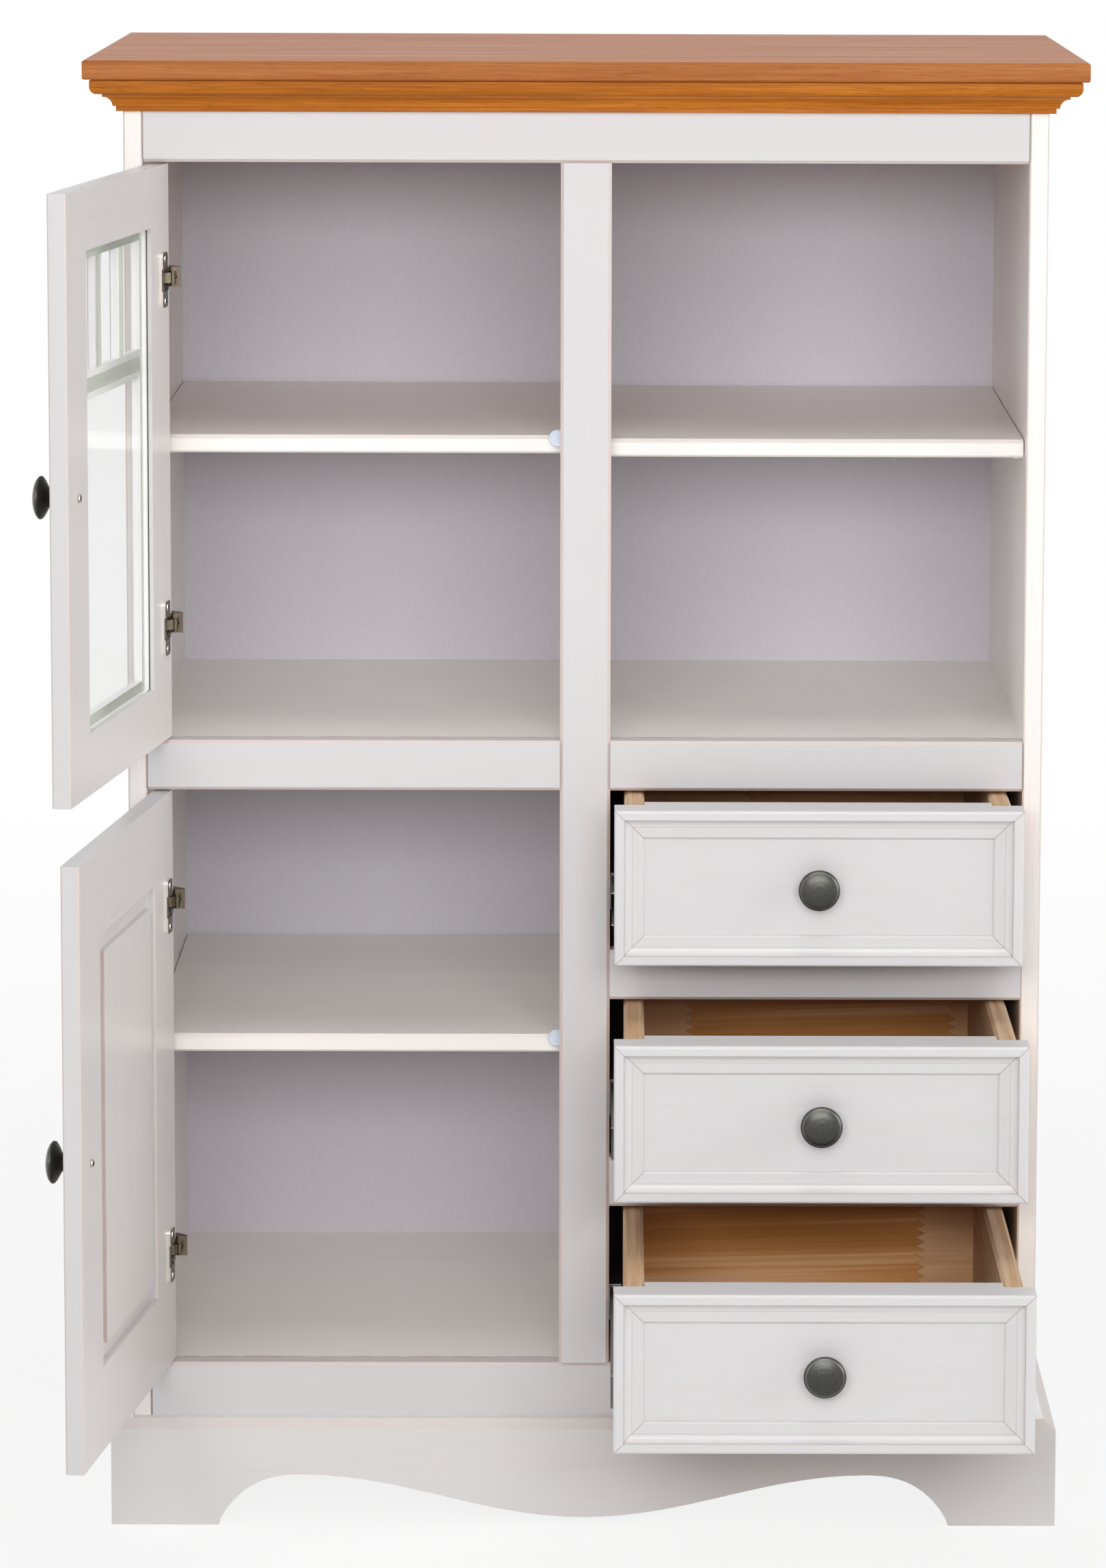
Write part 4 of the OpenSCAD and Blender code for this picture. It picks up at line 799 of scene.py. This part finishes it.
for door, facts in DOORS.items():
    at = np.array([DOOR_GAP + DOOR_W - KNOB_EDGE, DOOR_SET_BACK, sum(facts["z"]) / 2])
    knob_pieces(f"{door}_knob", door, f"{door}_knob", lambda p, d=door, a=at: in_door(d, p + a), 0.0, DOOR_T)
for name in DRAWERS:
    low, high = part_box(f"{name}_drawer_knob")
    front_low, front_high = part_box(f"{name}_drawer_front")
    at = np.array([(low.x + high.x) / 2, 0, (low.z + high.z) / 2])
    knob_pieces(f"{name}_drawer_knob", f"{name}_drawer", f"{name}_drawer_knob", lambda p, a=at: p + a,
                front_low.y, front_high.y)

# Bumpers: discs with a raised rim towards the doors
low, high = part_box("door_stops")
reach = (high.x - low.x) / 2
points, faces = turned(BUMPER_PROFILE, BUMPER_STEPS)
middle = (low.x + high.x) / 2
discs = [(forwards(points) + [middle, high.y, z], faces) for z in (low.z + reach, high.z - reach)]
stops = joined("door_bumpers", discs, bumper)
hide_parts("door_stops")
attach(stops, "cabinet")

# Hinge fittings: each arm's slot over the cup as a thin dark sheet of painted shadow, the pin in it, and
# painted shadow in the screws' recesses on the cup's ears
slots = []
pins = []
for door, facts in DOORS.items():
    marks = []
    for z in (facts["z"][0] + HINGE_END, facts["z"][1] - HINGE_END):
        at = np.array([-INNER_HALF + SLOT_IN, -FRONT + CRANK, z])
        points, faces = turned(SLOT_PROFILE, SMALL_STEPS)
        slots.append((forwards(stretched(points, 1.1 * MM)) + at, faces))
        points, faces = turned(PIN_PROFILE, SMALL_STEPS)
        pins.append((forwards(stretched(points, 0.7 * MM)) + at - [PIN_BACK, 0, 0], faces))
        for side in (-1, 1):
            at_ear = [DOOR_GAP + EAR_SCREW_IN, DOOR_SET_BACK + DOOR_T, z + side * EAR_SCREW_UP]
            points, faces = cross_recess(2.4 * MM, 0.45 * MM, EAR_SCREW_TOP - 0.6 * MM,
                                         EAR_SCREW_TOP + 0.06 * MM)
            marks.append((in_door(door, rearwards(points) + at_ear), faces))
    recesses = joined(f"{door}_ear_recess_shadows", marks, recess_shadow, False)
    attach(recesses, door)
for name, parts, material in (("hinge_arm_slots", slots, recess_shadow), ("hinge_arm_pins", pins, nickel)):
    piece = joined(name, parts, material)
    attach(piece, "cabinet")


# Studio

# Each softbox: its name, place and aim in metres, width and height in metres, and power in watts
LAMPS = (
    ("tall front softbox", (0.0, -4.8, 2.75), (0, 0, 0.5), 4.2, 2.6, 92),
    ("second front softbox", (0.0, -5.2, 2.0), (0, 0, 0.5), 3.6, 0.8, 66),
    ("right softbox", (4.2, -1.4, 1.5), (0, 0, 0.7), 2.4, 2.4, 66),
    ("left softbox", (-4.2, -1.4, 1.5), (0, 0, 0.7), 2.4, 2.4, 30),
    ("top softbox", (0.0, -0.8, 3.9), (0, -0.2, 0), 2.6, 2.2, 34),
    ("rear softbox", (0.0, 4.6, 0.7), (0, 0, 0.7), 1.5, 0.8, 80),
)
FLOOR_HALF = 14.0


def white_seen(t):
    """1 for what is seen straight, in a mirror or through glass, and 0 for what lights the object."""
    path = add(t, "ShaderNodeLightPath").outputs
    seen = add(t, "ShaderNodeMath", {0: path["Is Glossy Ray"], 1: path["Is Transmission Ray"]},
               operation="MAXIMUM")
    return add(t, "ShaderNodeMath", {0: path["Is Camera Ray"], 1: seen}, operation="MAXIMUM")


def surroundings():
    """A world that is white to look at and gives the object a weak cool fill."""
    world = bpy.data.worlds.new("studio")
    bpy.context.scene.world = world
    world.use_nodes = True
    t = world.node_tree
    t.nodes.clear()
    fill = add(t, "ShaderNodeBackground", {"Color": linear("#F4F5FA"), "Strength": 0.15})
    white = add(t, "ShaderNodeBackground", {"Color": (1, 1, 1, 1), "Strength": 1.0})
    mix = add(t, "ShaderNodeMixShader", {0: white_seen(t), 1: fill, 2: white})
    out = t.nodes.new("ShaderNodeOutputWorld")
    t.links.new(mix.outputs[0], out.inputs["Surface"])


def studio_floor():
    """A pale floor that keeps a soft shadow. It whitens with the distance from the object, so that no
    horizon shows."""
    m, t, out = new_material("pale studio floor")
    matt = add(t, "ShaderNodeBsdfDiffuse", {"Color": linear("#E6E5E4")})
    glow = add(t, "ShaderNodeEmission", {"Color": (1, 1, 1, 1), "Strength": 1.0})
    here = add(t, "ShaderNodeTexCoord").outputs["Object"]
    away = add(t, "ShaderNodeVectorMath", {0: here}, operation="LENGTH").outputs["Value"]
    white = add(t, "ShaderNodeMapRange", {0: away, 1: 0.8, 2: 3.6, 3: 0.86, 4: 1.0})
    share = add(t, "ShaderNodeMath", {0: white_seen(t), 1: white}, operation="MULTIPLY")
    mix = add(t, "ShaderNodeMixShader", {0: share, 1: matt, 2: glow})
    t.links.new(mix.outputs[0], out.inputs["Surface"])
    s = FLOOR_HALF
    corners = [(-s, -s, 0), (s, -s, 0), (s, s, 0), (-s, s, 0)]
    floor = surface("studio_floor", corners, [(0, 1, 2, 3)], m, False)
    floor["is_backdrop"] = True


def lamp(name, place, aim, width, height, power):
    """A soft rectangular lamp that looks at its aim."""
    data = bpy.data.lights.new(name, "AREA")
    data.shape = "RECTANGLE"
    data.size = width
    data.size_y = height
    data.energy = power
    o = bpy.data.objects.new(name, data)
    bpy.context.scene.collection.objects.link(o)
    o.location = place
    back = np.array(place, float) - np.array(aim, float)
    tilt = math.atan2(math.hypot(back[0], back[1]), back[2])
    o.rotation_euler = (tilt, 0, math.atan2(back[0], -back[1]))


def camera():
    """The photograph's view: from above the middle, a little downwards, with some shift."""
    data = bpy.data.cameras.new("camera")
    data.lens = 130.39
    data.sensor_width = 36.0
    data.shift_x = -0.054
    data.shift_y = -0.2
    data.clip_end = 100.0
    o = bpy.data.objects.new("camera", data)
    bpy.context.scene.collection.objects.link(o)
    o.location = (0.0207, -5.8152, 1.6958)
    o.rotation_euler = tuple(math.radians(v) for v in (82.821, -0.19, -0.282))
    bpy.context.scene.camera = o


surroundings()
studio_floor()
for softbox in LAMPS:
    lamp(*softbox)
camera()
bpy.context.scene.view_settings.view_transform = "Standard"

low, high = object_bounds()
